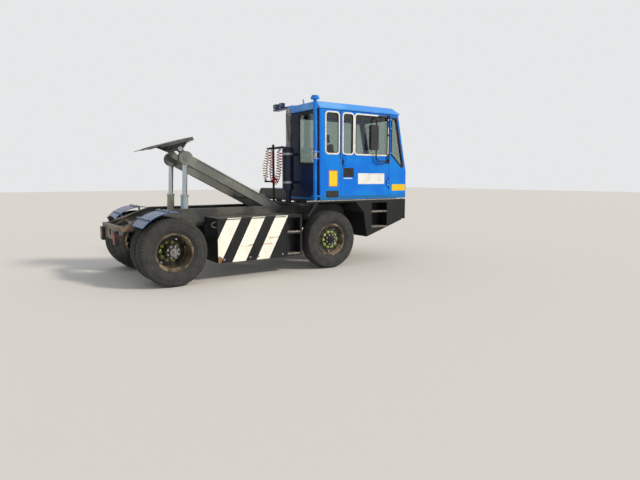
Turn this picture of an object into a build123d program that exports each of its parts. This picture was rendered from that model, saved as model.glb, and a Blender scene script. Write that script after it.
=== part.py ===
from build123d import *
from math import atan2, cos, degrees, hypot, pi, radians, sin, tan
import os

# Terminal tractor: a yard vehicle with a narrow right-hand cab, a low engine hood beside it, and a
# fifth wheel on a boom that two telescopic cylinders hold up.
# Millimetres. +X forward, +Y left, +Z up, ground at z = 0.
# Places along the vehicle are measured from the rear axle. export() moves every piece so that the
# origin lies on the ground in the middle of the length.

# Overall sizes
WHEELBASE = 2930
REAR_OVERHANG = 720
FRONT_OVERHANG = 1900
OVERALL_WIDTH = 2450
SIDE_Y = OVERALL_WIDTH / 2
BODY_INSET = 30
BODY_SIDE_Y = SIDE_Y - BODY_INSET
FRONT_X = WHEELBASE + FRONT_OVERHANG
REAR_X = -REAR_OVERHANG
ORIGIN_X = (FRONT_X + REAR_X) / 2

# Tyres and rims
TYRE_RADIUS = 530
TYRE_WIDTH = 290
TYRE_SHOULDER = 45
BEAD_RADIUS = 286
RIM_FLANGE_RADIUS = 300
RIM_WELL_RADIUS = 262
RIM_WALL = 12
RIM_FLANGE = 8
RIM_WIDTH = 220
DUAL_GAP = 45
DISC_THICKNESS = 14
STUD_CIRCLE_RADIUS = 142
STUD_COUNT = 10
STUD_RADIUS = 15
HAND_HOLE_COUNT = 10
HAND_HOLE_RADIUS = 24
HAND_HOLE_CIRCLE = 205
HUB_RADIUS = 112
DRUM_RADIUS = 205
DRUM_REACH = 30
SPINDLE_RADIUS = 42
TYRE_BEAD_GAP = 0.5
AXLE_Z = TYRE_RADIUS
FRONT_TYRE_Y = SIDE_Y - TYRE_WIDTH / 2
OUTER_TYRE_Y = FRONT_TYRE_Y
INNER_TYRE_Y = OUTER_TYRE_Y - TYRE_WIDTH - DUAL_GAP
DUAL_MIDDLE_Y = (OUTER_TYRE_Y + INNER_TYRE_Y) / 2

# Frame rails, channels open to the inside
RAIL_TYRE_GAP = 75
RAIL_WIDTH = 80
RAIL_OUTER_Y = INNER_TYRE_Y - TYRE_WIDTH / 2 - RAIL_TYRE_GAP
RAIL_INNER_Y = RAIL_OUTER_Y - RAIL_WIDTH
RAIL_Y = RAIL_INNER_Y + RAIL_WIDTH / 2
RAIL_TOP = 1150
RAIL_DEPTH = 290
RAIL_BOTTOM = RAIL_TOP - RAIL_DEPTH
RAIL_WALL = 14
RAIL_FRONT_SETBACK = 190
RAIL_FRONT_X = FRONT_X - RAIL_FRONT_SETBACK
RAMP_START_X = 120
RAMP_END_Z = 905
TAIL_LAMP_DEPTH = 55
TAIL_BEAM_X = REAR_X + TAIL_LAMP_DEPTH
TAIL_BEAM_LENGTH = 60
RAIL_REAR_X = TAIL_BEAM_X + TAIL_BEAM_LENGTH
TAIL_BEAM_DROP = 230
TAIL_BEAM_HALF_WIDTH = RAIL_OUTER_Y + 75
TOW_BORE_RADIUS = 26
CROSS_BEAM_RADIUS = 62
CROSS_BEAM_X = (-340, 1000, 1640)
CROSS_BEAM_Z = (RAIL_BOTTOM - 40 + CROSS_BEAM_RADIUS, 930, 930)

# Boom, cylinders and fifth wheel
BOOM_PIVOT_X = WHEELBASE - 630
BOOM_PIVOT_Z = 1060
BOOM_HEAD_X = 500
BOOM_HEAD_Z = 1990
ARM_INSET = 80
ARM_Y = RAIL_INNER_Y - ARM_INSET
ARM_WIDTH = 110
ARM_DEPTH = 160
ARM_WALL = 20
HEAD_RADIUS = 118
FORK_PLATE = 22
PIVOT_EYE_RADIUS = 95
PIVOT_PIN_RADIUS = 35
HEAD_PIN_RADIUS = 28
PIN_CLEARANCE = 0.5
PIVOT_BRACKET_WIDTH = 45
CROSS_TUBE_RADIUS = 80
CROSS_TUBE_SETBACK = 150
LIFT_BASE_X = 420
LIFT_BASE_Z = 370
BARREL_RADIUS = 70
BARREL_BORE = 64
BARREL_LENGTH = 655
GLAND_LENGTH = 40
STAGE_RADIUS = 62
STAGE_BORE = 45
STAGE_TOP = 1010
STAGE_LENGTH = 570
ROD_RADIUS = 42
ROD_LENGTH = 707
ROD_NECK = 126
ROD_EYE_RADIUS = 62
ROD_EYE_WIDTH = 52
ROD_EYE_BORE = 40
BASE_EYE_RADIUS = 60
BASE_EYE_WIDTH = 70
BASE_NECK = 100
BARREL_END = 25
BASE_PIN_RADIUS = 30
SADDLE_PLATE = 24
SADDLE_GAP = 5
SADDLE_LENGTH = 150
HANGER_Y = ARM_Y + BARREL_RADIUS + 8

FIFTH_PIVOT_X = 440
FIFTH_PIVOT_Z = 2150
FIFTH_TILT = 15.5
FIFTH_FRONT = 290
FIFTH_REAR = 320
FIFTH_RAMP_REAR = 605
FIFTH_HALF_WIDTH = 450
FIFTH_TOP = 140
FIFTH_PLATE = 26
FIFTH_SKIRT = 50
FIFTH_PIN_RADIUS = 30
FIFTH_EYE_RADIUS = 52
FIFTH_LUG_Y = ARM_Y - ARM_WIDTH / 2 - 10
FIFTH_LUG_PLATE = 25
KINGPIN_RADIUS = 25.5
KINGPIN_BACK = 40
KINGPIN_LOCK_RADIUS = 95
THROAT_HALF_WIDTH = 165
THROAT_NECK = 48
JAW_MOUTH = 15

# Axles and steering
KINGPIN_INSET = 120
KINGPIN_Y = FRONT_TYRE_Y - KINGPIN_INSET
FRONT_BEAM_DEPTH = 90
FRONT_BEAM_WIDTH = 110
FRONT_BEAM_Z = 440
SPRING_HALF_LENGTH = 620
SPRING_LEAF = 14
SPRING_LEAF_COUNT = 6
SPRING_WIDTH = 76
SPRING_SAG = 175
KNUCKLE_BOSS_RADIUS = 55
KNUCKLE_BOSS_HEIGHT = 210
KNUCKLE_PIN_RADIUS = 24
BEAM_END_HEIGHT = 90
STEER_ARM_LENGTH = 150
STEER_ARM_THICKNESS = 28
STEER_ARM_TOP = AXLE_Z - KNUCKLE_BOSS_HEIGHT / 2
STEER_STUD_RADIUS = 12
TIE_ROD_RADIUS = 19
BALL_RADIUS = 30
REAR_TUBE_RADIUS = 78
DIFF_RADIUS = 200
PINION_REACH = 70
SHAFT_RADIUS = 44
YOKE_RADIUS = 66
YOKE_LENGTH = 60
SHAFT_FRONT_X = WHEELBASE + 160
SHAFT_FRONT_Z = 715

# Engine and hood
ENGINE = dict(x=(SHAFT_FRONT_X + 50, SHAFT_FRONT_X + 1370), y=(-260, 400), z=(640, 1225))
ENGINE_TOP = dict(x=(SHAFT_FRONT_X + 150, SHAFT_FRONT_X + 1210), y=(60, 400), z=(1225, 1385))
HOOD_BASE_Z = 1255
HOOD_TOP_Z = 1450
HOOD_WALL = 30

# Cab
CAB_REAR_X = WHEELBASE - 250
CAB_FRONT_X = FRONT_X - 50
CAB_RIGHT_Y = -BODY_SIDE_Y
CAB_LEFT_Y = -45
CAB_WALL = 35
CAB_BASE_Z = 1305
ROOF_TOP_Z = 3020
ROOF_HEIGHT = 130
ROOF_BASE_Z = ROOF_TOP_Z - ROOF_HEIGHT
ROOF_CHAMFER = 95
SCREEN_BASE_Z = 1780
SCREEN_TOP_X = CAB_FRONT_X - 240
FLOOR_THICKNESS = 40
SILL_Z = 1215
SILL_HEIGHT = 40
SILL_FLANGE = 60
CAB_MOUNTS = (
    (CAB_REAR_X + 60, BODY_SIDE_Y - SILL_FLANGE),
    (CAB_REAR_X + 880, -RAIL_INNER_Y),
    (CAB_FRONT_X - 280, BODY_SIDE_Y - SILL_FLANGE),
)
SEAM = 6
DOOR_REAR_X = CAB_REAR_X + 460
DOOR_FRONT_X = CAB_FRONT_X - 460
GLASS_THICKNESS = 8
GLASS_INSET = 12
PANE_GAP = 1
PANE_CORNER = 55
WINDOW_BASE_Z = 2105
WINDOW_TOP_Z = ROOF_BASE_Z - 55
REAR_PANE_X = (CAB_REAR_X + 125, DOOR_REAR_X - 50)
DOOR_SMALL_PANE_X = (DOOR_REAR_X + 50, DOOR_REAR_X + 285)
DOOR_LARGE_PANE_X = (DOOR_REAR_X + 328, DOOR_FRONT_X - 35)
LEFT_PANE_X = (CAB_REAR_X + 150, DOOR_FRONT_X - 50)
LEFT_PANE_BASE_Z = 1960
REAR_WINDOW_Y = (CAB_RIGHT_Y + 85, CAB_LEFT_Y - 435)
REAR_WINDOW_Z = (1930, ROOF_BASE_Z - 45)
QUARTER_PANE = (
    (DOOR_FRONT_X + 60, WINDOW_BASE_Z + 25),
    (DOOR_FRONT_X + 60, ROOF_BASE_Z - 70),
    (SCREEN_TOP_X - 45, ROOF_BASE_Z - 70),
    (CAB_FRONT_X - 90, SCREEN_BASE_Z + 120),
    (CAB_FRONT_X - 120, SCREEN_BASE_Z + 105),
)
SCREEN_MARGIN = 70
HINGE_RADIUS = 12
HINGE_HEIGHT = 130
HINGE_Z = (1500, 2000, ROOF_BASE_Z - 250)

# Lower body beside the front wheels
STEP_PROFILE = (
    (WHEELBASE + 570, SILL_Z),
    (WHEELBASE + 770, 1010),
    (WHEELBASE + 850, 530),
    (FRONT_X - 140, 825),
    (FRONT_X - 90, 930),
    (FRONT_X - 90, SILL_Z),
)
STEP_HOLLOW = (
    (WHEELBASE + 605, SILL_Z + 5),
    (WHEELBASE + 782, 1024),
    (WHEELBASE + 865, 560),
    (FRONT_X - 158, 842),
    (FRONT_X - 115, 935),
    (FRONT_X - 115, SILL_Z + 5),
)
STEP_WALL = 20
STEP_INNER_Y = RAIL_OUTER_Y + 35
STEP_BEAM_X = (WHEELBASE + 870, WHEELBASE + 1490)
STEP_WELL_X = (WHEELBASE + 960, WHEELBASE + 1360)
STEP_WELL_DEPTH = 230
STEP_WELL_Z = ((1015, 1185), (715, 985))
ARCH_REAR_PROFILE = (
    (WHEELBASE - 530, 990),
    (WHEELBASE - 360, SILL_Z),
    (WHEELBASE - 290, SILL_Z),
    (WHEELBASE - 310, 1180),
    (WHEELBASE - 500, 965),
)
CABINET_X = (700, WHEELBASE - 640)
CABINET_Z = (300, 1020)
CABINET_DEPTH = 560
CABINET_STEP_X = (CABINET_X[1] - 300, CABINET_X[1] - 40)
CABINET_STEP_Z = ((730, 975), (345, 690))
CABINET_STEP_DEPTH = 170
TANK_X = (860, WHEELBASE - 750)
TANK_Z = (360, 990)
TANK_DEPTH = 520
TANK_CORNER = 120
BUMPER_X = (FRONT_X - 88, FRONT_X)
BUMPER_Z = (840, 1240)
BUMPER_END_CUT = 110
LAMP_RECESS = 12
LAMP_Y = (BODY_SIDE_Y - 430, BODY_SIDE_Y - 240)
LAMP_Z = (970, 1110)
LAMP_GAP = 5

# Deck, stacks and fittings behind the cab
CATWALK_X = (WHEELBASE - 638, CAB_REAR_X - 5)
CATWALK_Y = (60 - BODY_SIDE_Y, BODY_SIDE_Y - 245)
CATWALK_Z = (1170, 1200)
MUFFLER_X = CAB_REAR_X - 190
MUFFLER_Y = -385
MUFFLER_RADIUS = 108
MUFFLER_Z = (1440, 2210)
STACK_RADIUS = 43
STACK_TOP_Z = ROOF_TOP_Z - 85
INTAKE_X = CAB_REAR_X - 95
INTAKE_Y = 25 - BODY_SIDE_Y
INTAKE_RADIUS = 32
INTAKE_Z = (1330, ROOF_TOP_Z + 15)
CAP_RADIUS = 76
CAP_HEIGHT = 62
LAMP_BAR_REACH = 620
RACK_X = CATWALK_X[0] + 48
RACK_Y = -90
RACK_POST_RADIUS = 22
RACK_TOP_Z = 2290
RACK_BAR_Z = 2230
COIL_RADIUS = 55
GLAND_RADIUS = 20

# Fenders and lamps
FENDER_RADIUS = TYRE_RADIUS + 82
FENDER_THICKNESS = 6
FENDER_STAY_RADIUS = 12
FENDER_INNER_Y = INNER_TYRE_Y - TYRE_WIDTH / 2 + 12
FENDER_OUTER_Y = SIDE_Y - 10
FENDER_ARC = (78, 140)
TAIL_LAMP_Y = TAIL_BEAM_HALF_WIDTH - 130


def box(x, y, z):
    """A block between the low and high values given for each axis."""
    size = [high - low for low, high in (x, y, z)]
    middle = [(high + low) / 2 for low, high in (x, y, z)]
    return Pos(*middle) * Box(*size)


def rod(start, end, radius):
    """A round bar between two points."""
    start, end = Vector(*start), Vector(*end)
    place = Plane(origin=(start + end) / 2, z_dir=end - start)
    return place * Cylinder(radius, (end - start).length)


def across(x, z, radius, y_low, y_high):
    """A round bar across the vehicle."""
    return rod((x, y_low, z), (x, y_high, z), radius)


def side_face(points, corner=0):
    """A flat outline in the side view, its corners rounded if asked."""
    face = make_face(Polyline(*[(x, z) for x, z in points], close=True))
    if corner:
        face = fillet(face.vertices(), corner)
    return face


def side_prism(points, y_low, y_high, corner=0):
    """An outline of the side view, stretched across the vehicle."""
    return extrude(Plane.XZ.offset(-y_low) * side_face(points, corner), -(y_high - y_low))


def rear_prism(points, x_low, x_high, corner=0):
    """An outline of the rear view (y, z), stretched along the vehicle."""
    return extrude(Plane.YZ.offset(x_low) * side_face(points, corner), x_high - x_low)


def top_prism(points, z_low, z_high, corner=0):
    """An outline of the top view (x, y), stretched upwards."""
    return extrude(Plane.XY.offset(z_low) * side_face(points, corner), z_high - z_low)


def rectangle(a, b):
    """The four corners of an upright rectangle between two ranges."""
    return ((a[0], b[0]), (a[1], b[0]), (a[1], b[1]), (a[0], b[1]))


def other_side(shape):
    """The same shape on the other side of the vehicle."""
    return mirror(shape, about=Plane.XZ)


def group(*shapes):
    """Separate solids that share a node."""
    return Compound([solid for shape in shapes for solid in shape.solids()])


def both_sides(shape):
    return group(shape, other_side(shape))


def turned(profile, x, y, z):
    """A ring of the outline (distance out along Y, radius) about the wheel's axis."""
    face = make_face(Polyline(*[(0, out, radius) for out, radius in profile], close=True))
    return Pos(x, y, z) * revolve(face, Axis.Y, 360)


# Wheels


def tyre(x, y):
    half = TYRE_WIDTH / 2
    bead = RIM_WIDTH / 2 - RIM_FLANGE - TYRE_BEAD_GAP
    tread = TYRE_RADIUS
    crown = 8
    profile = (
        (-bead, BEAD_RADIUS + TYRE_BEAD_GAP),
        (-bead, RIM_FLANGE_RADIUS + 2),
        (-half + 6, BEAD_RADIUS + 70),
        (-half, BEAD_RADIUS + 120),
        (-half + 8, tread - TYRE_SHOULDER),
        (-half + TYRE_SHOULDER, tread - crown),
        (0, tread),
        (half - TYRE_SHOULDER, tread - crown),
        (half - 8, tread - TYRE_SHOULDER),
        (half, BEAD_RADIUS + 120),
        (half - 6, BEAD_RADIUS + 70),
        (bead, RIM_FLANGE_RADIUS + 2),
        (bead, BEAD_RADIUS + TYRE_BEAD_GAP),
    )
    return turned(profile, x, y, AXLE_Z)


def rim_barrel(x, y, disc_out, disc_radius):
    """The rim's ring with its flanges, and the disc that sits disc_out from its middle."""
    half = RIM_WIDTH / 2
    well = RIM_WELL_RADIUS
    ring = (
        (-half, RIM_FLANGE_RADIUS),
        (-half, BEAD_RADIUS - RIM_WALL),
        (-half + 60, well - RIM_WALL),
        (half - 60, well - RIM_WALL),
        (half, BEAD_RADIUS - RIM_WALL),
        (half, RIM_FLANGE_RADIUS),
        (half - RIM_FLANGE, RIM_FLANGE_RADIUS),
        (half - RIM_FLANGE, BEAD_RADIUS),
        (half - 56, well),
        (-half + 56, well),
        (-half + RIM_FLANGE, BEAD_RADIUS),
        (-half + RIM_FLANGE, RIM_FLANGE_RADIUS),
    )
    shape = turned(ring, x, y, AXLE_Z)
    middle = y + disc_out
    disc = across(x, AXLE_Z, disc_radius, middle - DISC_THICKNESS / 2, middle + DISC_THICKNESS / 2)
    for number in range(HAND_HOLE_COUNT):
        turn = 2 * pi * (number + 0.5) / HAND_HOLE_COUNT
        hole_x = x + HAND_HOLE_CIRCLE * cos(turn)
        hole_z = AXLE_Z + HAND_HOLE_CIRCLE * sin(turn)
        disc -= across(hole_x, hole_z, HAND_HOLE_RADIUS, middle - 20, middle + 20)
    return shape + disc


def studs(x, y_low, y_high):
    """The ring of wheel nuts, as one shape each."""
    nuts = []
    for number in range(STUD_COUNT):
        turn = 2 * pi * number / STUD_COUNT
        nut_x = x + STUD_CIRCLE_RADIUS * cos(turn)
        nut_z = AXLE_Z + STUD_CIRCLE_RADIUS * sin(turn)
        nuts.append(across(nut_x, nut_z, STUD_RADIUS, y_low, y_high))
    return nuts


def front_rim_left():
    y = FRONT_TYRE_Y
    disc_out = 40
    face = y + disc_out + DISC_THICKNESS / 2
    shape = rim_barrel(WHEELBASE, y, disc_out, RIM_WELL_RADIUS - 3)
    drum_back = KINGPIN_Y + KNUCKLE_BOSS_RADIUS + 8
    shape += across(WHEELBASE, AXLE_Z, DRUM_RADIUS, drum_back, y + disc_out)
    shape += across(WHEELBASE, AXLE_Z, HUB_RADIUS, y, face + 42)
    shape += across(WHEELBASE, AXLE_Z, HUB_RADIUS * 0.55, y, face + 78)
    for nut in studs(WHEELBASE, face - 4, face + 22):
        shape += nut
    return shape - across(WHEELBASE, AXLE_Z, SPINDLE_RADIUS + PIN_CLEARANCE, drum_back - 1, face + 5)


def rear_rims_left():
    disc = DISC_THICKNESS
    middle = DUAL_MIDDLE_Y
    outer = rim_barrel(0, OUTER_TYRE_Y, middle + disc / 2 - OUTER_TYRE_Y, BEAD_RADIUS - 3)
    inner = rim_barrel(0, INNER_TYRE_Y, middle - disc / 2 - INNER_TYRE_Y, BEAD_RADIUS - 3)
    shape = outer + inner
    for rim_y, side in ((OUTER_TYRE_Y, 1), (INNER_TYRE_Y, -1)):
        edge = rim_y - side * RIM_WIDTH / 2
        near = min(edge, middle) - 1
        far = max(edge, middle) + 1
        cone = across(0, AXLE_Z, BEAD_RADIUS, near, far)
        cone -= across(0, AXLE_Z, BEAD_RADIUS - RIM_WALL, near - 1, far + 1)
        shape += cone
    shape += across(0, AXLE_Z, DRUM_RADIUS, INNER_TYRE_Y - DRUM_REACH, middle)
    shape += across(0, AXLE_Z, HUB_RADIUS, middle, OUTER_TYRE_Y + 40)
    shape += across(0, AXLE_Z, HUB_RADIUS * 0.62, middle, OUTER_TYRE_Y + 74)
    for nut in studs(0, middle + disc - 4, middle + disc + 26):
        shape += nut
    return shape - across(0, AXLE_Z, SPINDLE_RADIUS + PIN_CLEARANCE, 0, middle + 5)


def rear_tyres_left():
    return group(tyre(0, OUTER_TYRE_Y), tyre(0, INNER_TYRE_Y))


# Frame


def rail_left():
    low = RAIL_REAR_X
    outline = (
        (low, RAIL_BOTTOM - 40),
        (RAMP_START_X - 200, RAIL_BOTTOM),
        (RAIL_FRONT_X, RAIL_BOTTOM),
        (RAIL_FRONT_X, RAIL_TOP),
        (RAMP_START_X, RAIL_TOP),
        (low, RAMP_END_Z),
    )
    wall = RAIL_WALL
    hollow = (
        (low + wall, RAIL_BOTTOM - 25),
        (RAMP_START_X - 200, RAIL_BOTTOM + wall),
        (RAIL_FRONT_X - wall, RAIL_BOTTOM + wall),
        (RAIL_FRONT_X - wall, RAIL_TOP - wall),
        (RAMP_START_X, RAIL_TOP - wall),
        (low + wall, RAMP_END_Z - wall - 4),
    )
    rail = side_prism(outline, RAIL_INNER_Y, RAIL_OUTER_Y)
    return rail - side_prism(hollow, RAIL_INNER_Y - 1, RAIL_OUTER_Y - wall)


def cross_members():
    """Round beams that butt against the rails' inner edges, and the front box beam."""
    beams = []
    for x, z in zip(CROSS_BEAM_X, CROSS_BEAM_Z):
        beams.append(across(x, z, CROSS_BEAM_RADIUS, -RAIL_INNER_Y, RAIL_INNER_Y))
    front_x = (RAIL_FRONT_X - 90, RAIL_FRONT_X)
    beams.append(box(front_x, (-RAIL_INNER_Y, RAIL_INNER_Y), (RAIL_BOTTOM, RAIL_BOTTOM + 150)))
    return group(*beams)


def tail_beam():
    """The plate across the rails' rear ends, with the jaw for a tow pin below its middle."""
    x_low, x_high = TAIL_BEAM_X, RAIL_REAR_X
    half = TAIL_BEAM_HALF_WIDTH
    low_z = RAMP_END_Z - TAIL_BEAM_DROP
    beam = box((x_low, x_high), (-half, half), (low_z, RAMP_END_Z))
    for side in (-1, 1):
        corner = ((side * half, low_z), (side * (half - 110), low_z), (side * half, low_z + 110))
        beam -= rear_prism(corner, x_low - 1, x_high + 1)
    middle = RAMP_END_Z - TAIL_BEAM_DROP / 2
    jaw_x = x_high + 60
    for z_low, z_high in ((middle - 85, middle - 55), (middle + 55, middle + 85)):
        jaw = box((x_high, jaw_x + 60), (-60, 60), (z_low, z_high))
        beam += jaw
    beam -= box((x_low - 1, x_high + 1), (-60, 60), (middle - 55, middle + 55))
    beam -= rod((jaw_x, 0, middle - 100), (jaw_x, 0, middle + 100), TOW_BORE_RADIUS)
    return beam


def boom_brackets():
    """Plates on the rails' inner sides that hold the boom's pivot pins, and the pins."""
    x, z = BOOM_PIVOT_X, BOOM_PIVOT_Z
    outer = ARM_Y + ARM_WIDTH / 2
    outline = ((x - 160, RAIL_BOTTOM), (x + 80, RAIL_BOTTOM), (x + 80, RAIL_TOP - 20), (x - 60, RAIL_TOP),
               (x - 160, RAIL_TOP - 90))
    plate = side_prism(outline, outer + 5, RAIL_INNER_Y)
    inner_low = ARM_Y - ARM_WIDTH / 2 - 5 - PIVOT_BRACKET_WIDTH
    outline = ((x - 110, RAIL_BOTTOM - 30), (x + 110, RAIL_BOTTOM - 30), (x + 70, z + 70), (x - 70, z + 70))
    inner = side_prism(outline, inner_low, inner_low + PIVOT_BRACKET_WIDTH)
    pin = across(x, z, PIVOT_PIN_RADIUS, inner_low, RAIL_INNER_Y)
    foot = box((x - 110, x + 110), (inner_low, RAIL_INNER_Y), (RAIL_BOTTOM - 30, RAIL_BOTTOM))
    side = plate + inner + pin + foot
    return both_sides(side)


def lift_saddle():
    """The cross box under the rails, with the lugs and pins that the cylinders stand on."""
    x, z = LIFT_BASE_X, LIFT_BASE_Z
    lug_in = ARM_Y - BASE_EYE_WIDTH / 2 - SADDLE_GAP
    lug_out = ARM_Y + BASE_EYE_WIDTH / 2 + SADDLE_GAP
    half = SADDLE_LENGTH / 2
    outline = ((x - half, z - 55), (x + half, z - 55), (x + half, z + 20), (x + 55, z + 75), (x - 55, z + 75),
               (x - half, z + 20))
    parts = []
    for low, high in ((lug_in - SADDLE_PLATE, lug_in), (lug_out, lug_out + SADDLE_PLATE)):
        parts.append(side_prism(outline, low, high))
    parts.append(across(x, z, BASE_PIN_RADIUS, lug_in - SADDLE_PLATE, lug_out + SADDLE_PLATE))
    shape = parts[0] + parts[1] + parts[2]
    # The hanger goes up outside the barrel to the rail's lower flange.
    hanger = box((x - half, x + half), (HANGER_Y, RAIL_OUTER_Y), (z - 55, RAIL_BOTTOM))
    hanger -= box((x - half + 20, x + half - 20), (HANGER_Y + 16, RAIL_OUTER_Y - 16), (z - 100, z + 440))
    shape += hanger + box((x - half, x + half), (lug_out + SADDLE_PLATE, HANGER_Y), (z - 55, z + 20))
    beam_end = lug_in - SADDLE_PLATE
    beam = box((x - half + 30, x + half - 30), (-beam_end, beam_end), (z - 50, z + 30))
    return shape + other_side(shape) + beam


# Boom


def boom_angle():
    return degrees(atan2(BOOM_HEAD_Z - BOOM_PIVOT_Z, BOOM_PIVOT_X - BOOM_HEAD_X))


def on_boom(shape):
    """Places what is drawn along a level boom, pivot at zero and head towards -X."""
    return Pos(BOOM_PIVOT_X, 0, BOOM_PIVOT_Z) * Rot(0, boom_angle(), 0) * shape


def boom():
    length = hypot(BOOM_HEAD_Z - BOOM_PIVOT_Z, BOOM_PIVOT_X - BOOM_HEAD_X)
    low, high = ARM_Y - ARM_WIDTH / 2, ARM_Y + ARM_WIDTH / 2
    half = ARM_DEPTH / 2
    arm = box((-length + HEAD_RADIUS * 0.6, -PIVOT_EYE_RADIUS * 0.4), (low, high), (-half, half))
    arm += across(0, 0, PIVOT_EYE_RADIUS, low, high)
    arm += across(-length, 0, HEAD_RADIUS, low, high)
    # The fork that takes the rod's eye is open downwards and to the rear.
    gap = ARM_WIDTH / 2 - FORK_PLATE
    arm -= box((-length - 200, -length + HEAD_RADIUS - 8), (ARM_Y - gap, ARM_Y + gap), (-200, 72))
    arm += across(-length, 0, HEAD_PIN_RADIUS, low, high)
    arm -= across(0, 0, PIVOT_PIN_RADIUS + PIN_CLEARANCE, low - 1, high + 1)
    # A shallow web panel on each side makes the flanges stand out.
    for y_low, y_high in ((low - 1, low + 9), (high - 9, high + 1)):
        arm -= box((-length + 190, -150), (y_low, y_high), (-half + ARM_WALL, half - ARM_WALL))
    shape = arm + other_side(arm)
    tube_x = -length + CROSS_TUBE_SETBACK
    shape += across(tube_x, 0, CROSS_TUBE_RADIUS, -low, low)
    shape += across(-620, 0, CROSS_TUBE_RADIUS * 0.8, -low, low)
    shape = on_boom(shape)
    # Two uprights carry the fifth wheel's pin.
    inner = FIFTH_LUG_Y - FIFTH_LUG_PLATE - 2
    for side in (-1, 1):
        y_low, y_high = sorted((side * (inner - 28), side * inner))
        upright = side_prism(((BOOM_HEAD_X - 20, BOOM_HEAD_Z + 20), (BOOM_HEAD_X + 150, BOOM_HEAD_Z - 60),
                              (BOOM_HEAD_X + 170, BOOM_HEAD_Z + 10), (FIFTH_PIVOT_X + 55, FIFTH_PIVOT_Z),
                              (FIFTH_PIVOT_X - 50, FIFTH_PIVOT_Z)), y_low, y_high)
        upright += across(FIFTH_PIVOT_X, FIFTH_PIVOT_Z, FIFTH_EYE_RADIUS, y_low, y_high)
        shape += upright
    shape -= across(FIFTH_PIVOT_X, FIFTH_PIVOT_Z, FIFTH_PIN_RADIUS + PIN_CLEARANCE, -inner - 1, inner + 1)
    return shape


def on_lift(shape):
    """Places what is drawn along an upright cylinder, its base pin at zero."""
    lean = degrees(atan2(BOOM_HEAD_X - LIFT_BASE_X, BOOM_HEAD_Z - LIFT_BASE_Z))
    return Pos(LIFT_BASE_X, 0, LIFT_BASE_Z) * Rot(0, lean, 0) * shape


def lift_length():
    return hypot(BOOM_HEAD_X - LIFT_BASE_X, BOOM_HEAD_Z - LIFT_BASE_Z)


def tube(radius, bore, z_low, z_high):
    shape = rod((0, ARM_Y, z_low), (0, ARM_Y, z_high), radius)
    return shape - rod((0, ARM_Y, z_low - 1), (0, ARM_Y, z_high + 1), bore)


def lift_barrels():
    half = BASE_EYE_WIDTH / 2
    shape = across(0, 0, BASE_EYE_RADIUS, ARM_Y - half, ARM_Y + half)
    shape += box((-45, 45), (ARM_Y - half, ARM_Y + half), (30, BASE_NECK + 1))
    shape += rod((0, ARM_Y, BASE_NECK), (0, ARM_Y, BASE_NECK + BARREL_END), BARREL_RADIUS)
    shape += tube(BARREL_RADIUS, BARREL_BORE, BASE_NECK + BARREL_END, BARREL_LENGTH)
    shape += tube(BARREL_RADIUS, STAGE_RADIUS + PIN_CLEARANCE, BARREL_LENGTH - GLAND_LENGTH, BARREL_LENGTH)
    shape -= across(0, 0, BASE_PIN_RADIUS + PIN_CLEARANCE, 0, 2 * ARM_Y)
    return both_sides(on_lift(shape))


def lift_stages():
    shape = tube(STAGE_RADIUS, STAGE_BORE, STAGE_TOP - STAGE_LENGTH, STAGE_TOP)
    shape += tube(STAGE_RADIUS + 4, ROD_RADIUS + PIN_CLEARANCE, STAGE_TOP - GLAND_LENGTH, STAGE_TOP)
    return both_sides(on_lift(shape))


def lift_rods():
    half = ROD_EYE_WIDTH / 2
    top = lift_length()
    shape = rod((0, ARM_Y, top - ROD_LENGTH), (0, ARM_Y, top - ROD_NECK), ROD_RADIUS)
    shape += box((-38, 38), (ARM_Y - half, ARM_Y + half), (top - ROD_NECK - 1, top - 30))
    shape += across(0, top, ROD_EYE_RADIUS, ARM_Y - half, ARM_Y + half)
    shape -= across(0, top, ROD_EYE_BORE, 0, 2 * ARM_Y)
    return both_sides(on_lift(shape))


# Fifth wheel


def on_fifth(shape):
    """Places what is drawn with the pivot at zero and the plate level."""
    return Pos(FIFTH_PIVOT_X, 0, FIFTH_PIVOT_Z) * Rot(0, -FIFTH_TILT, 0) * shape


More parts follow.
